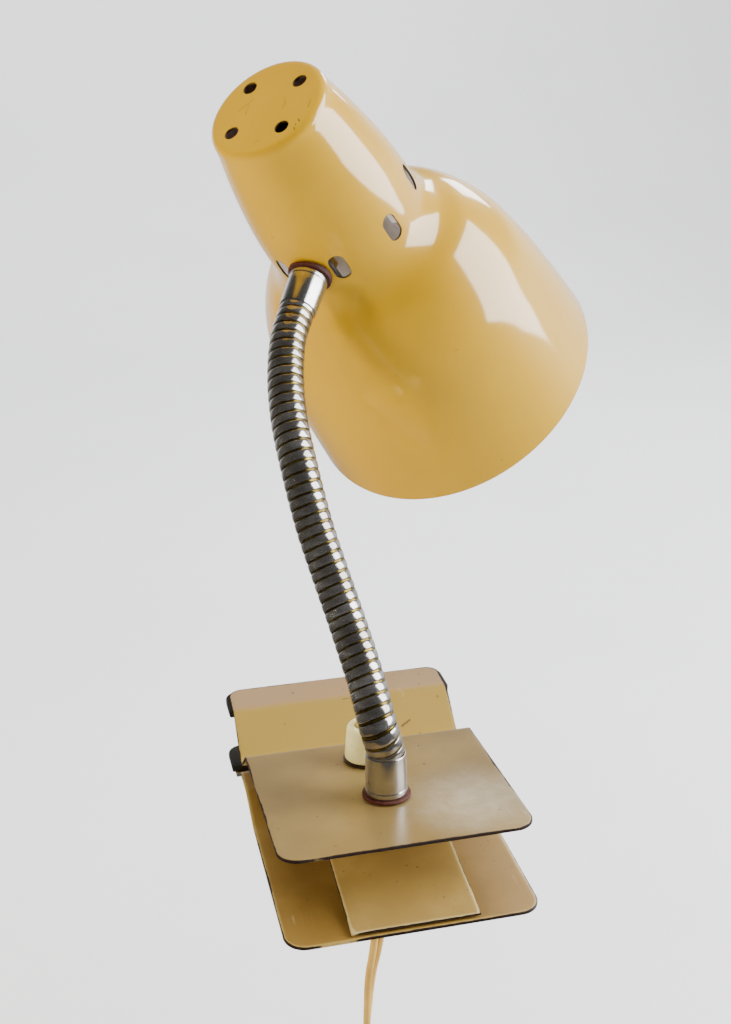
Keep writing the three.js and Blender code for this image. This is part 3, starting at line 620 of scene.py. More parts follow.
# the edge colour is a painted highlight along the sheet's edges
def goldenPaint(name="goldenPaint", first="#a58544", second="#917034", edge="#c8ab5c"):
    f = Finish(name, Coat_Weight=0.2, Coat_Roughness=0.3)
    make = f.make
    near = f.attribute("edge")
    base = f.mottle(52.0, 0.75, first, second)["Colour"]
    # painted highlight: a lighter tone along the edges stands for light catching them
    base = f.over(base, smoothStep(make, near, 0.0012, 0.0003), 0.7, edge)
    base = f.over(base, f.specks(620.0, 0.16, 0.36), 0.45, paint["dirt"])
    base = f.over(base, f.scratches((0.0, 0.0, 0.35), 800.0, 0.5), 0.3, paint["line"])
    chip = f.mask("chips", Distance=near, Reach=0.0003, Scale=340.0)
    base = f.over(base, chip, 1, paint["bare"])
    height = scaled(make, f.noise(40.0, 2.0), 1.4, times(make, f.noise(900.0, 2.0), 0.12))
    return f.done(base, f.wavering(f.noise(80.0, 4.0), 0.3, 0.22),
                  minus(make, height, times(make, chip, 0.5)), 0.00015)


enamel = {"cream": "#d6a606", "deep": "#c89602", "dirt": "#6b5230", "rust": "#5a3420",
          "mark": "#2e2412", "ringRadius": 0.0075, "topFrom": 0.0225, "topTo": 0.0195}

# the head's own frame in millimetres: the flat top's middle, the way to the mouth and the
# way to the neck, then where the neck's ferrule meets the shade
headTop = np.array([-16.0157, 21.7695, 215.9730])
headZ = np.array([0.534543, 0.413142, -0.737277])
headX = np.array([-0.436533, -0.612019, -0.659448])
headY = np.cross(headZ, headX)
headEntry = np.array([-8.3, 15.1, 147.3])
# marks on the flat top in that frame: start, end, half width, darkness
topMarks = [(7.7, -16.0, 8.6, -16.7, 0.55, 1.0), (11.4, -15.6, 13.6, -16.7, 0.5, 0.75),
            (9.6, -15.6, 10.6, -15.9, 0.45, 0.6), (-0.6, -18.0, 2.6, -18.1, 0.4, 0.55),
            (-1.4, -7.8, 1.6, -7.4, 0.5, 0.4), (-4.4, 6.6, 0.4, 11.2, 0.5, 0.35),
            (15.2, -3.0, 15.8, -1.2, 0.35, 0.3)]


def creamEnamel():
    f = Finish("creamEnamel", Coat_Weight=1.0, Coat_Roughness=0.1, Coat_IOR=1.75,
               Specular_IOR_Level=0.2)
    make = f.make
    base = f.mottle(14.0, 0.4, enamel["cream"], enamel["deep"])["Colour"]
    base = f.over(base, f.specks(260.0, 0.03, 0.22), 0.5, enamel["dirt"])
    base = f.over(base, f.specks(95.0, 0.035, 0.09), 0.8, enamel["rust"])
    # smudges near the top's holes, and a worn ring in the middle of the flat top
    fromTop = f.attribute("fromTop")
    onTop = smoothStep(make, fromTop, enamel["topFrom"], enamel["topTo"])
    ring = mathNode(make, "ABSOLUTE", minus(make, fromTop, enamel["ringRadius"]))
    ring = times(make, smoothStep(make, ring, 0.0006, 0.0001),
                 smoothStep(make, f.noise(160.0, 5.0, 0.7), 0.48, 0.62))
    smudges = smoothStep(make, f.noise(300.0, 6.0, 0.75), 0.62, 0.7)
    smudges = times(make, times(make, smudges, onTop), 0.35)
    base = f.over(base, ring, 0.45, enamel["dirt"])
    base = f.over(base, smudges, 1, enamel["dirt"])
    for x0, y0, x1, y1, width, weight in topMarks:
        start, end = (tuple(((headTop + x * headX + y * headY) * mm).tolist())
                      for x, y in ((x0, y0), (x1, y1)))
        mark = f.mask("stroke", Start=start, End=end, Width=width * mm, Ragged=1.0)
        base = f.over(base, mark, weight, enamel["mark"])
    chip = f.mask("chips", Distance=f.attribute("edge"), Reach=0.00016, Scale=420.0)
    base = f.over(base, chip, 1, enamel["rust"])
    bare = mathNode(make, "MAXIMUM", chip, times(make, smudges, 0.8))
    f.feed("Coat Weight", minus(make, 1.0, bare))
    height = plus(make, f.noise(30.0, 1.0), times(make, f.noise(420.0, 1.0), 0.05))
    return f.done(base, f.wavering(f.noise(60.0, 4.0), 0.12, 0.36), height, 0.00012)


def shadeInside():
    f = Finish("shadeInside", Coat_Weight=0.3, Coat_Roughness=0.25)
    base = f.mottle(30.0, 0.6, "#e6ddd6", "#d2c2b8")["Colour"]
    base = f.over(base, f.specks(300.0, 0.12, 0.3), 0.5, "#8a6f64")
    # the lining is darker and browner deeper inside, round the lampholder
    depth = smoothStep(f.make, f.attribute("fromTop"), 0.098, 0.05)
    return f.done(f.over(base, depth, 0.85, "#a06a60"),
                  f.wavering(f.noise(90.0, 4.0), 0.25, 0.35), f.noise(600.0, 2.0), 0.00005)


def shadeRim():
    f = Finish("shadeRim")
    body = f.mottle(240.0, 0.8, "#a08640", "#4a3c22")
    return f.done(body["Colour"], f.wavering(body["Mask"], 0.3, 0.4), body["Mask"], 0.00008)


def brightChrome():
    f = Finish("brightChrome", Metallic=0.95)
    make, grime = f.make, 0.35
    haze = f.mottle(90.0, 0.7, "#dddee2", "#b9b8b4")
    spots = f.specks(900.0, 0.12, 0.32)
    base = f.over(haze["Colour"], spots, grime, "#4c4436")
    near = f.mask("chips", Distance=f.attribute("edge"), Reach=0.0003, Scale=500.0)
    base = f.over(base, near, grime, "#5c5238")
    rough = scaled(make, spots, 0.3, f.wavering(haze["Mask"], 0.12, 0.12))
    lines = f.scratches((0.0, 1.2, 0.4), 1500.0, 0.4)
    return f.done(base, rough, scaled(make, lines, -0.5, f.noise(60.0, 1.0)), 0.00004)


# the crease colour is painted shade and grime in the grooves between wire and band
neckFinish = {"band": "#cdcbca", "bandOld": "#8f8b88", "bead": "#a8953c", "beadOld": "#54461b",
              "crease": "#14110c", "spot": "#4a4030"}


def neckChrome():
    f = Finish("neckChrome", Metallic=0.88, Specular_IOR_Level=0.6)
    make = f.make
    phase = f.attribute("phase")     # 0 on the thin wire's crown, 0.5 on the band's
    band = f.mottle(130.0, 0.7, neckFinish["band"], neckFinish["bandOld"])["Colour"]
    bead = f.mottle(420.0, 0.8, neckFinish["bead"], neckFinish["beadOld"])["Colour"]
    onBead = smoothStep(make, phase, halfBead + 0.006, halfBead - 0.006)
    base = mixColour(make, onBead, band, bead)
    # painted shade and grime: a near-black line along each crease where the wire meets the band
    dark = mathNode(make, "ABSOLUTE", minus(make, phase, halfBead))
    ragged = f.wavering(f.noise(700.0, 3.0, 0.6), 0.075, 0.032)
    crease = smoothStep(make, minus(make, ragged, dark), 0.0, 0.02)
    base = f.over(base, crease, 1, neckFinish["crease"])
    spots = f.specks(800.0, 0.1, 0.34)
    base = f.over(base, spots, 0.5, neckFinish["spot"])
    rough = scaled(make, crease, 0.5, f.wavering(onBead, 0.1, 0.16))
    return f.done(base, scaled(make, spots, 0.25, rough), f.noise(240.0, 2.0), 0.00003)


def plastic(name, first, second, rough=0.3, coat=0.2, stain=None):
    f = Finish(name, Coat_Weight=coat, Coat_Roughness=0.2)
    make = f.make
    base = f.mottle(120.0, 0.6, first, second)["Colour"]
    if stain:
        blot = smoothStep(make, f.noise(150.0, 5.0, 0.7), 0.56, 0.75)
        base = f.over(base, blot, 0.7, stain)
    base = f.over(base, f.specks(700.0, 0.1, 0.3), 0.4, "#55452e")
    lines = f.scratches((0.5, 0.2, 0.9), 1300.0, 0.5)
    return f.done(base, f.wavering(f.noise(200.0, 4.0), 0.25, rough),
                  scaled(make, lines, -0.6, f.noise(1400.0, 2.0)), 0.00003)


def bareMetal(name, first, second, rough=0.28):
    f = Finish(name, Metallic=1.0)
    body = f.mottle(260.0, 0.8, first, second)
    lines = f.scratches((0.1, 0.9, 0.2), 1600.0, 0.8)
    return f.done(body["Colour"], f.wavering(body["Mask"], 0.22, rough),
                  scaled(f.make, lines, -0.6, body["Mask"]), 0.00003)


def grainy(name, first, second, rough=0.8, scale=900.0):
    f = Finish(name)
    body = f.mottle(scale, 0.7, first, second)
    return f.done(body["Colour"], f.wavering(body["Mask"], -0.15, rough),
                  f.noise(scale * 1.6, 3.0), 0.00008)


def cordVinyl():
    f = Finish("cordVinyl", Coat_Weight=0.15, Coat_Roughness=0.35)
    base = f.mottle(70.0, 0.6, "#dcb04c", "#c8993a")["Colour"]
    # painted shade: the vinyl is darker in the groove between the two cores
    base = f.over(base, smoothStep(f.make, f.attribute("groove"), 0.3, 0.0), 0.75, "#8a642c")
    base = f.over(base, f.specks(600.0, 0.1, 0.3), 0.4, "#6e5128")
    return f.done(base, f.wavering(f.noise(300.0, 3.0), 0.25, 0.35),
                  f.noise(1500.0, 2.0), 0.00003)


def frostedGlass():
    f = Finish("frostedGlass", Transmission_Weight=0.25, Subsurface_Weight=0.15, IOR=1.45)
    base = f.mottle(40.0, 0.5, "#f6f3ec", "#eeeae0")["Colour"]
    return f.done(base, f.wavering(f.noise(900.0, 2.0), 0.1, 0.3),
                  f.noise(2200.0, 2.0), 0.00001)


def paleFloor():
    f = Finish("paleFloor")
    base = f.mottle(3.0, 0.3, "#f4f5f7", "#eff0f3")["Colour"]
    return f.done(base, f.wavering(f.noise(40.0), 0.1, 0.6))


halfBead = 0.125                     # half the thin wire's share of one turn of the neck
finishes = {
    "beige": beigePaint(), "golden": goldenPaint(), "enamel": creamEnamel(),
    "inside": shadeInside(), "rim": shadeRim(), "chrome": brightChrome(),
    "neck": neckChrome(),
    "cream": plastic("creamPlastic", "#f6f0b8", "#ece29c", 0.32, stain="#dcb868"),
    "brown": plastic("brownPlastic", "#34211a", "#22130e", 0.22, coat=0.4),
    "brass": bareMetal("plainBrass", "#c9a75a", "#8e7433"),
    "steel": bareMetal("plainSteel", "#a9a9a6", "#7d7c78", 0.34),
    "rubber": grainy("blackRubber", "#1b1a19", "#262422", 0.82),
    "fibre": grainy("redFibre", "#6a382c", "#47241c", 0.85, 700.0),
    "cord": cordVinyl(), "glass": frostedGlass(),
    # painted light: the spring gets a lighter copy of the lower plate's golden paint for the light
    # it catches, and a brighter painted highlight along its edges
    "spring": goldenPaint("litSpringPaint", "#bd9e5a", "#a98a4a", "#e2cc8c"),
}
print("materials made")


backdrop = {"below": 0.02, "front": -5.0, "sweepFrom": 1.6, "radius": 1.0, "top": 6.0,
            "half": 6.0}


def makeFloor():
    # a level floor that sweeps up into a wall behind the object: a profile carried across X
    b = backdrop
    low = cadBox[0][2] - b["below"]
    turn = np.linspace(0, math.pi / 2, 24)
    sweep = np.stack([b["sweepFrom"] + b["radius"] * np.sin(turn),
                      low + b["radius"] - b["radius"] * np.cos(turn)], -1)
    line = np.vstack([[b["front"], low], sweep, [b["sweepFrom"] + b["radius"], b["top"]]])
    across = np.array([-b["half"], b["half"]])
    points = np.stack([np.tile(across, len(line)), np.repeat(line[:, 0], 2),
                       np.repeat(line[:, 1], 2)], -1)
    floor = makePiece("floor", points, gridFaces(len(line), 2), [paleFloor()], 60, solid=False)
    floor.visible_glossy = False


makeFloor()


def makeWorld():
    # a room that is bright near the horizon ahead and to the right, and dim elsewhere
    world = bpy.data.worlds.new("room")
    world.use_nodes = True
    bpy.context.scene.world = world
    tree = world.node_tree
    make = maker(tree)
    way = make("ShaderNodeSeparateXYZ", {0: make("ShaderNodeTexCoord").outputs["Generated"]})
    lean = scaled(make, way.outputs[0], 0.6, way.outputs[1])
    ahead = smoothStep(make, lean, 0.0, 0.9, (0.06, 1.0))
    above = smoothStep(make, way.outputs[2], -0.6, -0.1, (0.15, 1.0))
    below = smoothStep(make, way.outputs[2], 0.38, 0.12, (0.2, 1.0))
    above = times(make, above, below)
    back = tree.nodes["Background"]
    back.inputs["Color"].default_value = tint("#f1f3f7")
    glow = times(make, ahead, above)
    tree.links.new(times(make, glow, 1.5), back.inputs["Strength"])


makeWorld()


def keep(obj, body, slot, *replaced):
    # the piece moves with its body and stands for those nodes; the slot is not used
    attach(obj, body)
    if replaced:
        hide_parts(*replaced)
    return obj


# the supply cord, its hank, tie and plug

cordShape = {
    "width": 0.0054, "thickness": 0.0027, "groove": 0.00075,
    "hang": [(0, -62, -43), (0.3, -62, -50), (0.4, -62, -57.5), (0.2, -61.9, -65),
             (-0.9, -61.6, -73), (-2.1, -61.1, -80.5), (-2.8, -60.6, -88),
             (-3.2, -60.1, -96), (-3.6, -59.7, -104), (-3.8, -59.4, -112),
             (-3.9, -59.2, -119), (-4.0, -59.1, -125), (-4.0, -59.1, -133)],
    "outer": 20.6, "inner": 17.8,    # radii of the hank's two layers of turns
    "column": 5.6,                   # from one turn to the one beside it
    "top": -133.3, "height": 96.0, "middle": -4.0, "rear": -59.1, "pull": 4.0,
    "halfThick": 1.35, "pinchReach": 30, "turnFrom": -0.050, "turnOver": 0.066,
    "spacing": 0.0023,
}


def sCurve(start, x, z, share):
    # down from start to the height z, and over to x by a smooth step
    swing = 3 * share**2 - 2 * share**3
    return np.stack([start[0] + (x - start[0]) * swing, start[1] + 0 * share,
                     start[2] + (z - start[2]) * share], -1)


def hankRoute():
    # one turn is a long loop of two runs and two half circles; layer and column change
    # while the cord runs down the right side
    c = cordShape
    room = c["outer"] + c["halfThick"]
    high, low = c["top"] - room, c["top"] - c["height"] + room
    layers = [(c["outer"], k, c["outer"], k + 1) for k in range(4)]
    layers += [(c["outer"], 4, c["inner"], 4)]
    layers += [(c["inner"], k, c["inner"], k - 1) for k in (4, 3, 2)]
    pieces = []
    ease = 0.5 - 0.5 * np.cos(np.pi * np.linspace(0, 1, 24, endpoint=False))
    down = high + (low - high) * np.linspace(0, 1, 24, endpoint=False)
    arc = np.pi * np.linspace(0, 1, 34, endpoint=False)
    for r0, k0, r1, k1 in layers:
        column = k0 + (k1 - k0) * ease
        radius = r0 + (r1 - r0) * ease
        pieces.append(np.stack([radius, column, down], -1))
        pieces.append(np.stack([r1 * np.cos(arc), k1 + 0 * arc, low - r1 * np.sin(arc)], -1))
        pieces.append(np.stack([-r1 + 0 * down, k1 + 0 * down, down[0] + low - down], -1))
        pieces.append(np.stack([-r1 * np.cos(arc), k1 + 0 * arc, high + r1 * np.sin(arc)], -1))
    last = np.linspace(0, 1, 24)
    pieces.append(np.stack([c["inner"] + 0 * last, 1 - (0.5 - 0.5 * np.cos(np.pi * last)),
                            high + (low + 8 - high) * last], -1))
    turns = np.concatenate(pieces)
    # the tie draws the runs together at half height by a raised cosine
    half = (high + low) / 2
    pinch = 0.5 + 0.5 * np.cos(np.pi * np.clip((turns[:, 2] - half) / c["pinchReach"], -1, 1))
    turns[:, 0] -= np.sign(turns[:, 0]) * c["pull"] * pinch
    turns[:, 0] += c["middle"]
    turns[:, 1] = c["rear"] + c["column"] * turns[:, 1]
    # both ends swing over to the middle of the hank in an S
    share = np.linspace(0, 1, 30)
    hang = routeThrough(c["hang"], 8)
    entry = sCurve(hang[-1], turns[0, 0], turns[0, 2], share[:-1])
    leave = sCurve(turns[-1], c["middle"], c["top"] - c["height"] - 0.3, share[1:])
    return np.concatenate([hang[:-1], entry, turns, leave]) * mm


def flatTube(line, widthWay):
    # outline of two round cores side by side with a groove between them
    half, r = cordShape["width"] / 2, cordShape["thickness"] / 2
    turn = np.radians(np.linspace(-125, 125, 13))
    right = np.stack([half - r + r * np.cos(turn), r * np.sin(turn)], -1)
    groove = np.array([[0, cordShape["groove"]]])
    outline = np.concatenate([right, groove, -right, -groove])
    outline = closedLoop(outline)
    way = unit(np.gradient(line, axis=0))
    wide = unit(widthWay - way * (widthWay * way).sum(1, keepdims=True))
    thick = np.cross(way, wide)
    points = (line[:, None] + outline[None, :, :1] * wide[:, None]
              + outline[None, :, 1:] * thick[:, None])
    rows, columns = len(line), len(outline)
    faces = gridFaces(rows, columns).tolist()
    faces.append(list(range(columns - 2, -1, -1)))
    faces.append(list(range((rows - 1) * columns, rows * columns - 1)))
    return points.reshape(-1, 3), faces, np.tile(abs(outline[:, 0]) / r, rows)


def makeCord():
    line = hankRoute()
    total = lengthOf(line)
    c = cordShape
    route = alongLine(line, np.linspace(0, total, int(total / c["spacing"])))
    # the flat side turns from facing the front to facing along the hank's axis
    quarter = np.radians(90)
    turn = quarter * np.clip((c["turnFrom"] - route[:, 2]) / c["turnOver"], 0, 1)
    turn[np.argmax(turn >= quarter):] = quarter
    widthWay = np.stack([np.cos(turn), np.sin(turn), 0 * turn], -1)
    points, faces, groove = flatTube(route, widthWay)
    cord = makePiece("supply_cord", points, faces, [finishes["cord"]], 50,
                     attributes={"groove": groove})
    keep(cord, "clip_lower", "cord_vinyl", "power_cord", "cord_hank")
    return cord, route, total


cord, cordLine, cordLength = makeCord()


def placeAt(x, y, z, axes=None):
    return np.array([x, y, z]) * mm, np.eye(3) if axes is None else np.asarray(axes)


plugAt = (cordShape["middle"], cordShape["rear"], -229.6)
plugPins = {"side": 9.5, "radius": 2.0, "from": -34.3, "to": -52.3}
plugFlat = {"at": -11, "reach": 7, "depth": 0.22, "ribs": 0.018, "ribsAt": -24, "ribPitch": 2.4}
plugShape = [(0, 0), (3.2, 0, 0.8), (4.9, -3), (5.4, -8), (6.6, -11, 2), (12.2, -14.5, 2.5),
             (15.2, -20, 3), (16.5, -31, 2.5), (15.6, -34, 1), (0, -34)]


def makePlug():
    profile = rounded(plugShape, 6) * mm
    profile[profile[:, 0] < 1e-6, 0] = 0
    points, faces = latheGrid(profile, 96)
    # the neck of the plug is pinched flat where the fingers hold it
    p = plugFlat
    z = points[:, 2] / mm
    points[:, 1] *= 1 - p["depth"] * np.exp(-((z - p["at"]) / p["reach"]) ** 2)
    ribs = np.clip(np.cos(z * 2 * np.pi / p["ribPitch"]), 0, 1) * (abs(z - p["ribsAt"]) < 6)
    points[:, :2] *= (1 - p["ribs"] * ribs)[:, None]
    plug = makePiece("mains_plug", placed(points, placeAt(*plugAt)), faces,
                     [finishes["cream"]], 40)
    keep(plug, "clip_lower", "cream_plastic", "plug_body")
    pins = []
    r, low, high = plugPins["radius"], plugPins["to"], plugPins["from"]
    for side, name in ((-1, "plug_pin_left"), (1, "plug_pin_right")):
        spot = placeAt(plugAt[0] + side * plugPins["side"], *plugAt[1:])
        pin = turnedPiece(name + "_round", [(0, low), (r, low, 0.9), (r, high), (0, high)],
                          spot, finishes["brass"], 32, closed=False)
        pins.append(keep(pin, "clip_lower", "brass", name))
    return [plug, *pins]


strap = {"halfDepth": 14.6, "gap": 0.9, "halfThick": 0.55, "halfHeight": 3, "behind": 11.3}


def makeTie():
    # a strap round the drawn-in waist of the hank, in plan a rounded oblong
    c = cordShape
    x, y = c["outer"] + c["halfThick"] + strap["gap"] - c["pull"], strap["halfDepth"]
    t, h = strap["halfThick"], strap["halfHeight"]
    plan = closedLoop(rounded([(-x, -y, 6), (x, -y, 6), (x, y, 6), (-x, y, 6)], 8, True))
    section = closedLoop(rounded([(-t, -h, 0.4), (t, -h, 0.4), (t, h, 0.4), (-t, h, 0.4)],
                                 3, True))
    way = closedLoop(unit(np.roll(plan[:-1], -1, 0) - np.roll(plan[:-1], 1, 0)))
    out = np.stack([way[:, 1], -way[:, 0]], -1)
    flat = plan[:, None] + out[:, None] * section[None, :, :1]
    z = np.broadcast_to(section[None, :, 1:], flat.shape[:2] + (1,))
    points = np.concatenate([flat, z], -1).reshape(-1, 3)
    spot = placeAt(c["middle"], c["rear"] + strap["behind"], c["top"] - c["height"] / 2)
    tie = makePiece("hank_strap", placed(points * mm, spot), gridFaces(len(plan), len(section)),
                    [finishes["rubber"]])
    return keep(tie, "clip_lower", "black_rubber", "hank_tie")


grip = turnedPiece("cord_sleeve", [
    (2.7, -42.4, 0.3), (3.8, -42.4, 0.6), (4.3, -37.5, 0.5), (4.3, -36.6, 0.3),
    (4.8, -36.4, 0.3), (5.2, -32.5, 0.5), (5.2, -31.6, 0.3), (5.7, -31.4, 0.3),
    (6.1, -27.5, 0.5), (6.1, -26.6, 0.3), (6.6, -26.3, 0.4), (6.8, -22.4, 0.6),
    (7.0, -20.9, 0.5), (7.0, -20.6), (4.6, -20.55), (4.6, -19.1), (7.0, -19.05),
    (7.0, -17.9, 0.8), (3.2, -17.75, 0.5)],
    placeAt(0, -62, 0), finishes["cord"], 72)
addAttribute(grip, "groove", np.ones(len(grip.data.vertices)))
keep(grip, "clip_lower", "cord_vinyl", "cord_grip")
tie = makeTie()
plugPieces = makePlug()
print("cord made,", round(cordLength, 3), "m long")

# the clip's two plates and its leaf spring

clip = {
    "sheet": 1.0, "half": 41.0, "flare": 0.5, "rearCorner": 7.0, "tipCorner": 5.0,
    "upper": [(-109.3, 6.34), (-37.5, 1.1, 4), (-26, -8.6, 3), (-21.5, -8.6, 3),
              (-8, 3.5, 4), (7, 3.5)],
    "lower": [(-116.7, -20.25), (-50, -19.8, 8), (-34, -15.1, 6), (-21.5, -15.1, 3),
              (-8, -24.3, 4), (7, -24.3)],
    "lean": -0.0728513, "neckY": -77.2, "switchY": -50.5, "gripY": -62.0,
    "pin": (-23.7, -12.7), "lug": 3.2, "lugSheet": 1.2, "pressed": 0.28,
    "neckHole": 5.3, "switchHole": 5.9, "gripHole": 4.9,
}


def handleTop(y):
    return 6.34 + math.tan(clip["lean"]) * (y + 109.3) + 0.5 / math.cos(clip["lean"])


def onHandle(y):
    c, s = math.cos(clip["lean"]), math.sin(clip["lean"])
    return placeAt(0, y, handleTop(y), [[1, 0, 0], [0, c, s], [0, -s, c]])


def bankOf(values, least=0.12):
    # sorted values without near repeats
    values = np.unique(np.round(values, 5))
    return values[np.r_[True, np.diff(values) > least]]


def cleared(points, faces):
    # only the points that a face uses
    used, again = np.unique(faces, return_inverse=True)
    return points[used], again.reshape(faces.shape)


def bentPlate(name, corners, holes, lugs, material):
    # a profile line carried across X: x = u width(s) / half, (y, z) = line(s), and width(s)
    # follows the rounded plan corners
    c = clip
    line = rounded(corners, 7)
    s = distances(line)
    total, half = s[-1], c["half"]
    swing = 1 - np.cos(np.linspace(0, np.pi / 2, 10))
    us = np.linspace(-half, half, 47)
    extra = [np.array(h["window"][0]) for h in holes if "radius" not in h]
    us = bankOf(np.concatenate([us, *extra]), 0.6) if extra else us
    rowsOf = [np.arange(0, total, 2.2), s, c["rearCorner"] * swing, total - c["tipCorner"] * swing]
    vs = bankOf(np.concatenate(rowsOf), 0.1)
    vs[0], vs[-1] = 0, total
    sAt = lambda y: np.interp(y, line[:, 0], s)
    spots = []
    for h in holes:
        low, high = h["window"][1]
        spot = {"window": (h["window"][0], (sAt(low), sAt(high)))}
        if "radius" in h:
            spot |= {"radius": h["radius"], "centre": (0.0, float(sAt(h["y"])))}
        spots.append(spot)
    flat, faces = cleared(*holedSheet(us, vs, spots))
    u, v = flat.T
    rear = np.clip(c["rearCorner"] - v, 0, None)
    tip = np.clip(c["tipCorner"] - (total - v), 0, None)
    wide = half + c["flare"] * np.clip(1 - (v - c["rearCorner"]) / (total - 12), 0, 1)
    narrow = (c["rearCorner"] - np.sqrt(np.clip(c["rearCorner"]**2 - rear**2, 0, None))
              + c["tipCorner"] - np.sqrt(np.clip(c["tipCorner"]**2 - tip**2, 0, None)))
    x = u * (wide - narrow) / half
    y, z = np.interp(v, s, line[:, 0]), np.interp(v, s, line[:, 1])
    a, b = wide - abs(x), np.minimum(v, total - v)
    r = np.where(v < total / 2, c["rearCorner"], c["tipCorner"])
    inCorner = (a < r) & (b < r)
    edge = np.where(inCorner, r - np.hypot(r - a, r - b), np.minimum(a, b))
    for spot in spots:
        if "radius" in spot:
            edge = np.minimum(edge, np.hypot(x, v - spot["centre"][1]) - spot["radius"])
    plate = makePiece(name, np.stack([x, y, z], -1) * mm, faces, [material], merge=False,
                      attributes={"edge": np.clip(edge, 0, None) * mm})
    addWall(plate, c["sheet"], 0, even=True)
    addBevel(plate, c["pressed"], 3)
    applyModifiers(plate)
    return joinPieces(plate, *lugs) if lugs else plate


def slab(name, outline, low, high, axis, material, soften=0.3):
    # a flat outline carried from low to high along one axis, its edges rounded
    outline = np.asarray(outline, float)
    count = len(outline)
    a, b = [k for k in range(3) if k != axis]
    points = np.zeros((2 * count, 3))
    points[:, a], points[:, b] = np.tile(outline[:, 0], 2), np.tile(outline[:, 1], 2)
    points[:, axis] = np.repeat([low, high], count)
    ids = np.arange(count)
    after = np.roll(ids, -1)
    faces = np.stack([ids, after, after + count, ids + count], 1).tolist()
    faces += [ids[::-1].tolist(), (ids + count).tolist()]
    obj = makePiece(name, points * mm, faces, [material])
    addBevel(obj, soften, 3)
    applyModifiers(obj)
    addAttribute(obj, "edge", np.full(len(obj.data.vertices), 0.01))
    return obj


def lugPair(root, insideX, material):
    # two ears with round tops about the hinge's axis
    (y, z), r = clip["pin"], clip["lug"]
    swing = np.linspace(np.pi, 0, 17) * (1 if root < z else -1)
    outline = [(y - r, root), *zip(y + r * np.cos(swing), z + r * np.sin(swing)), (y + r, root)]
    outsideX = insideX + clip["lugSheet"]
    return [slab("lug", outline, side * insideX, side * outsideX, 0, material, 0.2)
            for side in (-1, 1)]


def hole(y, radius, room):
    return {"y": y, "radius": radius, "window": ((-room, room), (y - room, y + room))}


upper = bentPlate("upper_clip_plate", clip["upper"],
                  [hole(clip["neckY"], clip["neckHole"], 8.2),
                   hole(clip["switchY"], clip["switchHole"], 8.2)],
                  lugPair(-8.6, 23.0, finishes["beige"]), finishes["beige"])
keep(upper, "clip_upper", "beige_paint", "upper_plate")
lugRoom = [{"window": ((a, b), (-28.9, -18.5))} for a, b in ((21.5, 24.5), (-24.5, -21.5))]
lower = bentPlate("lower_clip_plate", clip["lower"],
                  [hole(clip["gripY"], clip["gripHole"], 7.6), *lugRoom],
                  lugPair(-15.1, 24.6, finishes["golden"]), finishes["golden"])
keep(lower, "clip_lower", "golden_paint", "lower_plate")


def planOutline(half, rear, front, rearRadius, frontRadius):
    return rounded([(-half, rear, rearRadius), (half, rear, rearRadius),
                    (half, front, frontRadius), (-half, front, frontRadius)], 8, True)


for name, low, body, node in (("upper_pad", 0, "clip_upper", "upper_jaw_pad"),
                              ("lower_pad", -23.5, "clip_lower", "lower_jaw_pad")):
    pad = slab(name, planOutline(42.3, -6.8, 8.3, 0.6, 5), low, low + 2.7, 2,
               finishes["rubber"], 0.6)
    keep(pad, body, "black_rubber", node)

sideways = [[0, 1, 0], [0, 0, 1], [1, 0, 0]]
pin = turnedPiece("clip_pin", [(0, -27.4), (1.5, -27.4, 0.6), (1.5, 27.4, 0.6), (0, 27.4)],
                  placeAt(0, *clip["pin"], sideways), finishes["steel"], 40, closed=False)
keep(pin, "clip_lower", "plain_steel", "hinge_pin")

spring = {"sheet": 0.8, "half": 21.0, "bend": (-41.0, -3.848), "radius": 4.0, "rear": -92.0,
          "tip": (-115.6, -18.74), "window": (11.0, -71.0, -42.0), "sheared": 0.2}


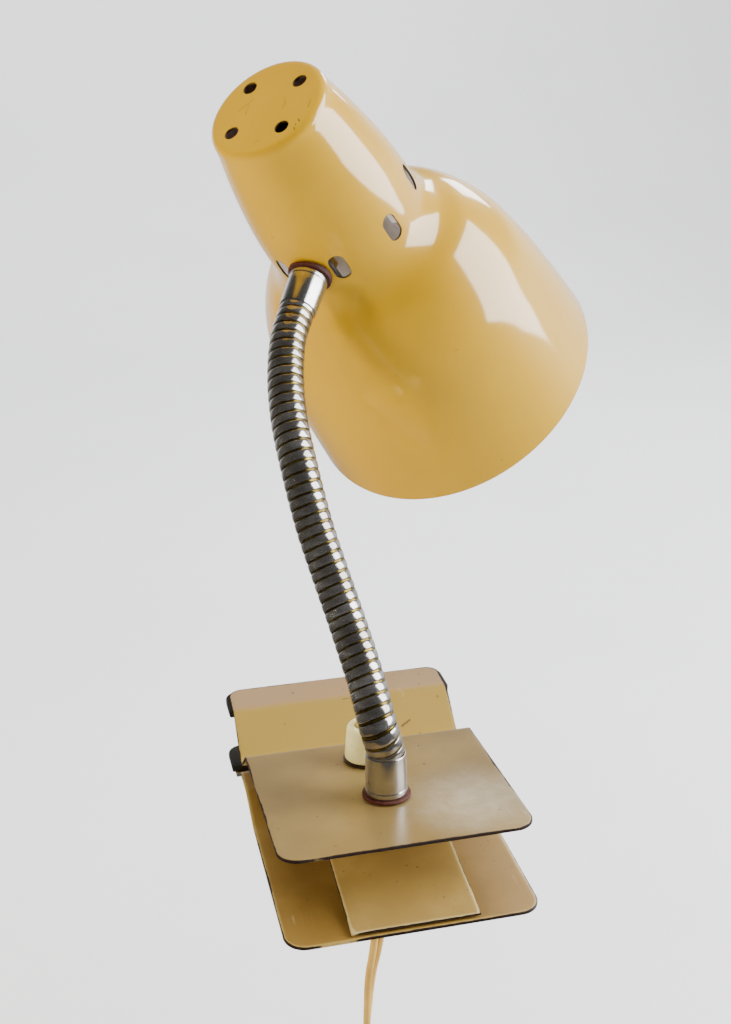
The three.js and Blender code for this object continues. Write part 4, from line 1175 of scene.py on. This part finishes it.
def makeSpring():
    # upper leg, round bend and lower leg are one strip; the lower leg has a window
    centre = np.array(spring["bend"])
    legTop = lambda y: handleTop(y) - 1.7 / math.cos(clip["lean"])
    tip = np.array(spring["tip"])
    lean = centre - tip
    back = math.atan2(lean[1], lean[0]) - math.asin(spring["radius"] / np.linalg.norm(lean))
    turn = np.linspace(math.radians(90), back - math.pi / 2, 28)[:, None]
    arc = centre + spring["radius"] * np.concatenate([np.cos(turn), np.sin(turn)], 1)
    line = np.vstack([[spring["rear"], legTop(spring["rear"])], arc, tip])
    s = distances(line)
    total, half = s[-1], spring["half"]
    vs = bankOf(np.r_[np.arange(0, total, 2.0), s], 0.1)
    vs[-1] = total
    us = np.linspace(-half, half, 22)
    legStart = s[-2]
    legAt = lambda y: legStart + (total - legStart) * (arc[-1, 0] - y) / (arc[-1, 0] - tip[0])
    topAt = lambda y: y - spring["rear"]
    w, rearY, frontY = spring["window"]
    holes = [{"radius": clip["neckHole"], "centre": (0, topAt(clip["neckY"])),
              "window": ((-8, 8), (topAt(-85.2), topAt(-69.2)))},
             {"radius": clip["switchHole"], "centre": (0, topAt(clip["switchY"])),
              "window": ((-8, 8), (topAt(-58.5), topAt(-42.4)))},
             {"window": ((-w, w), (legAt(frontY), legAt(rearY)))}]
    flat, faces = cleared(*holedSheet(us, vs, holes))
    u, v = flat.T
    y, z = np.interp(v, s, line[:, 0]), np.interp(v, s, line[:, 1])
    edge = np.minimum(half - abs(u), np.minimum(v, total - v))
    inWindow = np.maximum(abs(u) - w, np.maximum(legAt(frontY) - v, v - legAt(rearY)))
    edge = np.clip(np.minimum(edge, abs(inWindow)), 0, None) * mm
    strip = makePiece("leaf_spring", np.stack([u, y, z], -1) * mm, faces,
                      [finishes["spring"]], merge=False, attributes={"edge": edge})
    addWall(strip, spring["sheet"], 0)
    addBevel(strip, spring["sheared"], 2)
    applyModifiers(strip)
    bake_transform(strip)
    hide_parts("spring_upper_leg", "spring_lower_leg")


makeSpring()
print("clip made")

# fittings on the handle

atSwitch, atNeck = onHandle(clip["switchY"]), onHandle(clip["neckY"])
switchParts = {
    "switch_seat": ([(5.9, 0.3), (8.6, 0.3, 0.2), (8.6, 0.9, 0.2), (5.9, 0.9)], "brown",
                    "brown_plastic", "clip_upper", "switch_washer"),
    "switch_sleeve": ([(5.9, 1.2), (8.0, 1.2, 0.4), (8.0, 2.3, 0.5), (7.0, 12.2, 0.5),
                       (6.3, 13.2, 0.7), (4.3, 13.2, 0.45), (4.3, 10.2), (5.9, 9.8)], "cream",
                      "cream_plastic", "clip_upper", "switch_collar"),
    "switch_case": ([(0, -10.8), (7.8, -10.8, 0.9), (7.8, -2.4, 0.3), (5.6, -2.4), (5.6, 8.7),
                     (3.6, 8.7), (3.6, -5.6), (0, -5.6)], "brown", "brown_plastic",
                    "clip_upper", "switch_body"),
}
for name, (corners, finish, slot, body, node) in switchParts.items():
    keep(turnedPiece(name, corners, atSwitch, finishes[finish]), body, slot, node)
button = turnedPiece("press_button", [(0, -3.1), (3.3, -3.1, 0.3), (3.3, 16.9, 0.8),
                                      (2.4, 18.0, 0.9), (0, 18.2)],
                     atSwitch, finishes["cream"], 64, closed=False)
keep(button, "push_button", "cream_plastic", "switch_button")

ferruleShape = [(5.3, 0), (7.05, 0, 0.25), (7.05, 1.6, 0.3), (6.9, 2.0, 0.2), (6.95, 4.0, 1),
                (6.75, 12.0, 1), (6.7, 13.6, 0.3), (6.55, 14.0, 0.2), (6.3, 14.0, 0.2),
                (6.2, 13.2), (6.2, 5.2), (5.3, 4.4)]


def ferrule(name, spot, foot, body, node):
    corners = [(r, z + foot, *more) for r, z, *more in ferruleShape]
    obj = turnedPiece(name, corners, spot, finishes["chrome"])
    addAttribute(obj, "edge", np.full(len(obj.data.vertices), 0.01))
    return keep(obj, body, "chrome", node)


keep(turnedPiece("neck_washer", [(5.3, 0.3), (8.1, 0.3, 0.25), (8.1, 1.3, 0.25), (5.3, 1.3)],
                 atNeck, finishes["fibre"]), "clip_upper", "red_fibre", "base_washer")
ferrule("neck_base_ferrule", atNeck, 1.6, "clip_upper", "base_ferrule")

# the gooseneck: a broad convex strip wound with a thin wire between its turns

neck = {"radius": 5.9, "pitch": 3.5, "crease": 0.42, "bead": 0.2, "wall": 0.5, "sides": 40,
        "segments": 8, "blendReach": 0.0066, "inFerrule": 8.9}
onHead = (headTop * mm, np.array([headX, headY, headZ]))
atEntry = ((headTop + 52.0 * headZ) * mm, np.array([-headZ, headY, headX]))


def neckRoute():
    origin, axes = atNeck
    seat, mouth = (origin / mm + axes[2] * up for up in (6.7, 15.6))
    between = [(-2.4, -75.8, 30), (-4.4, -67.5, 43), (-7.3, -57, 57), (-11, -47.3, 72),
               (-14.6, -38.8, 87), (-17.2, -28.6, 104), (-18, -16, 118), (-16.6, -4.2, 130),
               (-13.2, 6.6, 140)]
    return routeThrough([seat, mouth, *between, headEntry,
                         headEntry - headX * neck["inFerrule"]])


def carriedFrames(line):
    # each cross direction is the one before it, turned only as the line turns
    way = unit(np.gradient(line, axis=0))
    side = np.zeros_like(way)
    side[0] = unit(np.cross(way[0], (0, 1, 0)))
    for i in range(1, len(way)):
        side[i] = unit(side[i - 1] - way[i] * (side[i - 1] @ way[i]))
    return side, np.cross(way, side)


def makeNeck():
    # place(w, turn) = line(s) + (radius + bulge(w)) (side cos turn + other sin turn), with
    # s = pitch (w + turn / 2 pi), so each row climbs one pitch in a full turn
    line = neckRoute()
    total = lengthOf(line)
    step = distances(line)
    side, other = carriedFrames(line)
    pitch = neck["pitch"]
    part = np.array([0, .06, halfBead, .145, .18, .22, .29, .38, .5,
                     .62, .71, .78, .82, .855, 1 - halfBead, .94])
    hidden, count = neck["inFerrule"], neck["segments"]
    first = hidden + (total - 2 * hidden) * (np.arange(count) + 0.5) / count
    cuts = [0, *np.round(first / pitch - 0.5).astype(int), int(total / pitch) - 1]
    turn = np.linspace(0, 2 * np.pi, neck["sides"] + 1)
    bodies = ["clip_upper", *[f"neck_segment_{k}" for k in range(2, count)], "head"]
    for k, (low, high) in enumerate(zip(cuts[:-1], cuts[1:])):
        w = np.r_[(np.arange(low, high)[:, None] + part).ravel(), high]
        phase = abs(w - np.round(w))
        q = np.clip((0.5 - phase) / (0.5 - halfBead), 0, 1)
        band = -neck["crease"] * (0.22 * q**2 + 0.78 * (1 - np.sqrt(1 - 0.99 * q**6)))
        wire = -neck["crease"] + neck["bead"] * np.sqrt(np.clip(1 - (phase / halfBead)**2, 0, 1))
        bulge = np.where(phase >= halfBead - 1e-6, band, wire)
        s = np.clip(pitch * (w[:, None] + turn / (2 * np.pi)), 0, total)
        at = [np.stack([np.interp(s, step, a[:, i]) for i in range(3)], -1)
              for a in (line, side, other)]
        radius = (neck["radius"] + bulge)[:, None, None]
        points = at[0] + radius * (unit(at[1]) * np.cos(turn)[:, None]
                                   + unit(at[2]) * np.sin(turn)[:, None])
        obj = makePiece(f"gooseneck_{k + 1}", points.reshape(-1, 3) * mm,
                        gridFaces(len(w), len(turn))[:, ::-1], [finishes["neck"]], solid=False,
                        attributes={"phase": np.repeat(phase, len(turn))})
        addWall(obj, neck["wall"], -1)
        applyModifiers(obj, 60)
        if 0 < k < count:
            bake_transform(obj)
        else:
            keep(obj, bodies[0] if k == 0 else bodies[-1], "chrome")
        if k < count:
            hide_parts(f"neck_{k + 1}")


makeNeck()
print("gooseneck made")

# the head: shade, its entry fittings, lampholder and bulb

shade = {
    "wall": 0.8, "columns": 192, "slots": 8, "slotHalf": 2.5, "slotRadius": 3.0, "entry": 52.0,
    "entryHole": 5.3, "softEdge": 0.22,
    "neck": 30.4, "topHoles": 4, "topHole": 2.6, "topCircle": 14.4, "length": 158.5,
    "outside": [(3.8, 22.3), (19.8, 26.0), (39, 29.3), (52, 30.4), (61.5, 30.8), (68.7, 33.9),
                (75.8, 41.2), (84.2, 46.9), (96.5, 52.3), (114.3, 56.4), (135.9, 59.6),
                (158.5, 62.1)],
}


def shadeLine():
    # (height, radius): flat top, round shoulder, then a smooth curve to the mouth
    turn = np.linspace(0, np.pi / 2, 8)
    shoulder = np.stack([2.8 - 2.8 * np.cos(turn), 19.5 + 2.8 * np.sin(turn)], -1)
    wall = routeThrough([(t, r, 0) for t, r in shade["outside"]], 24)[:, :2]
    return np.vstack([[0, 0], shoulder, wall])


def shadeHoles(sAt):
    entry = float(sAt(shade["entry"]))
    neckRadius = shade["neck"]

    def onWall(turn, radius, straight, wide, tall):
        return {"window": ((turn - wide, turn + wide), (entry - tall, entry + tall)),
                "radius": radius, "straight": straight, "centre": (0, 0),
                "flat": lambda p: np.stack([(p[:, 0] - turn) * neckRadius, p[:, 1] - entry], -1),
                "unflat": lambda q: np.stack([q[..., 0] / neckRadius + turn,
                                              q[..., 1] + entry], -1)}

    def onTop(turn):
        away = shade["topCircle"]
        return {"window": ((turn - 0.27, turn + 0.27), (away - 3.9, away + 3.9)),
                "radius": shade["topHole"], "centre": (0, 0),
                "flat": lambda p: np.stack([p[:, 1] * np.sin(p[:, 0] - turn),
                                            p[:, 1] * np.cos(p[:, 0] - turn) - away], -1),
                "unflat": lambda q: np.stack([turn + np.arctan2(q[..., 0], q[..., 1] + away),
                                              np.hypot(q[..., 0], q[..., 1] + away)], -1)}

    slots = [onWall(math.radians(22.5 + 45 * k), shade["slotRadius"], shade["slotHalf"],
                    math.radians(7.5), 8.0) for k in range(shade["slots"])]
    tops = [onTop(math.radians(45 + 90 * k)) for k in range(shade["topHoles"])]
    return [*slots, *tops, onWall(0.0, shade["entryHole"], 0, math.radians(11.25), 8.0)]


def makeShade():
    # a line turned about the head's axis: radius(s) (cos u, sin u), height(s)
    line = shadeLine()
    s = distances(line)
    total = s[-1]
    sAt = lambda t: np.interp(t, line[8:, 0], s[8:])
    us = np.radians(np.linspace(-11.25, 348.75, shade["columns"] + 1))
    rows = np.r_[0, 2, 4, 6, 8, 9.6, 10.5, 12.5, 14.4, 16.4, 18.3, s[1:9],
                 np.arange(s[8] + 1.5, total, 1.9), total]
    vs = bankOf(rows, 0.2)
    vs[-1] = total
    flat, faces = cleared(*holedSheet(us, vs, shadeHoles(sAt)))
    u, v = flat.T
    t, r = np.interp(v, s, line[:, 0]), np.interp(v, s, line[:, 1])
    points = np.stack([r * np.cos(u), r * np.sin(u), t], -1) * mm
    obj = makePiece("bell_shade", placed(points, onHead), faces,
                    [finishes["enamel"], finishes["inside"], finishes["rim"]], solid=False)
    verts = np.empty(len(obj.data.vertices) * 3)
    obj.data.vertices.foreach_get("co", verts)
    local = (verts.reshape(-1, 3) - onHead[0]) @ onHead[1].T / mm
    x, y, t = local.T
    r, u = np.hypot(x, y), np.arctan2(y, x)
    entry = shade["entry"]
    near = abs((u % (math.pi / 4)) - math.pi / 8)
    slots = np.hypot(near * r, np.clip(abs(t - entry) - shade["slotHalf"], 0, None))
    slots = slots - shade["slotRadius"]
    hole = np.hypot(u * r, t - entry) - shade["entryHole"]
    quarter = abs((u % (math.pi / 2)) - math.pi / 4)
    tops = np.hypot(r * np.sin(quarter), r * np.cos(quarter) - shade["topCircle"])
    tops = tops - shade["topHole"]
    tops = np.where(t < 0.1, tops, 99)
    edge = np.minimum.reduce([slots, hole, tops, shade["length"] - t])
    addAttribute(obj, "edge", np.clip(edge, 0, None) * mm)
    addAttribute(obj, "fromTop", np.where(t < 2.79, r + 0.4 * t, sAt(np.maximum(t, 2.8))) * mm)
    wall = addWall(obj, shade["wall"], -1, even=True)
    wall.material_offset, wall.material_offset_rim = 1, 2
    addBevel(obj, shade["softEdge"], 2)
    applyModifiers(obj)
    keep(obj, "head", "cream_enamel", "shade")


makeShade()


washer = {"hole": 5.3, "radius": 8.1, "from": 30.7, "to": 31.7}


def saddled(points):
    # the washer's inner face follows the round neck of the shade, its outer face is flat
    x, y, z = (points / mm).T
    drop = washer["from"] - np.sqrt(washer["from"]**2 - y**2)
    return np.stack([x, y, z - drop * np.clip(washer["to"] - z, 0, 1)], -1) * mm


washerLine = closedLoop(rounded([
    (washer["hole"], washer["from"]), (washer["radius"], washer["from"], 0.2),
    (washer["radius"], washer["to"], 0.25), (washer["hole"], washer["to"])], 6, True)) * mm
washerPoints, washerFaces = latheGrid(washerLine, 96)
keep(makePiece("entry_washer", placed(saddled(washerPoints), atEntry), washerFaces,
               [finishes["fibre"]]), "head", "red_fibre", "head_washer")
ferrule("entry_ferrule", atEntry, 32.0, "head", "head_ferrule")

holderParts = {
    "holder_dome": ([(5.3, 13.05), (9, 13.05, 0.8), (15, 18.05, 3), (17, 22.05, 2),
                     (17, 28.05, 0.4), (15, 28.05), (15, 22.05, 2), (8, 16.05), (5.3, 16.05)],
                    "brown", "brown_plastic", "holder_cap"),
    "holder_shell": ([(0, 28.35), (17, 28.35, 0.4), (17, 55.05, 0.8), (16.2, 57.05, 0.6),
                      (14.8, 57.05, 0.4), (14.8, 31.35), (0, 31.35)], "brown",
                     "brown_plastic", "holder_body"),
}
for name, (corners, finish, slot, node) in holderParts.items():
    keep(turnedPiece(name, corners, onHead, finishes[finish]), "head", slot, node)


def makeBulb():
    # screw cap: radius 13.15 + 0.45 cos(2 pi z / 3.6); globe on a smooth neck
    z = np.linspace(39.5, 54.5, 62)
    screw = np.stack([13.15 + 0.45 * np.cos(2 * np.pi * z / 3.6), z], -1)
    corners = np.vstack([[[0, 33.35], [3.4, 33.35], [4.2, 34.5], [10.4, 36.9], [13.0, 38.6]],
                         screw, [[13.4, 57.35], [12.5, 57.35], [12.3, 55], [0, 55]]]) * mm
    points, faces = latheGrid(corners, 96)
    cap = makePiece("bulb_screw_cap", placed(points, onHead), faces, [finishes["brass"]], 40)
    keep(cap, "head", "brass", "bulb_cap")
    turn = np.radians(np.linspace(-50, 90, 40))
    globe = np.stack([30 * np.cos(turn), 107.35 + 30 * np.sin(turn)], -1)
    neckLine = routeThrough([(12.3, 49.4, 0), (12.3, 59.35, 0), (13.9, 66.35, 0),
                             (16.1, 80.4, 0), (*globe[0], 0)], 16)[:-1, :2]
    profile = np.vstack([[0, 49.4], neckLine, globe]) * mm
    profile[-1, 0] = 0
    points, faces = latheGrid(profile, 96)
    glass = makePiece("bulb_globe", placed(points, onHead), faces, [finishes["glass"]], 50)
    keep(glass, "head", "frosted_glass", "bulb_glass")


makeBulb()
print("head made")

# finishes of the parts that keep their plain shape

kept = {"base_nut": "brass", "base_nipple": "brass", "head_nipple": "brass", "head_nut": "brass",
        "holder_bracket": "steel", "holder_nipple": "brass", "holder_nut": "brass",
        "holder_contact_spring": "brass", "holder_thread_shell": "brass",
        "switch_terminal_left": "brass", "switch_terminal_right": "brass"}
for name, finish in kept.items():
    nodes[name].data.materials.clear()
    nodes[name].data.materials.append(finishes[finish])

bpy.context.view_layer.update()
print("all pieces made")
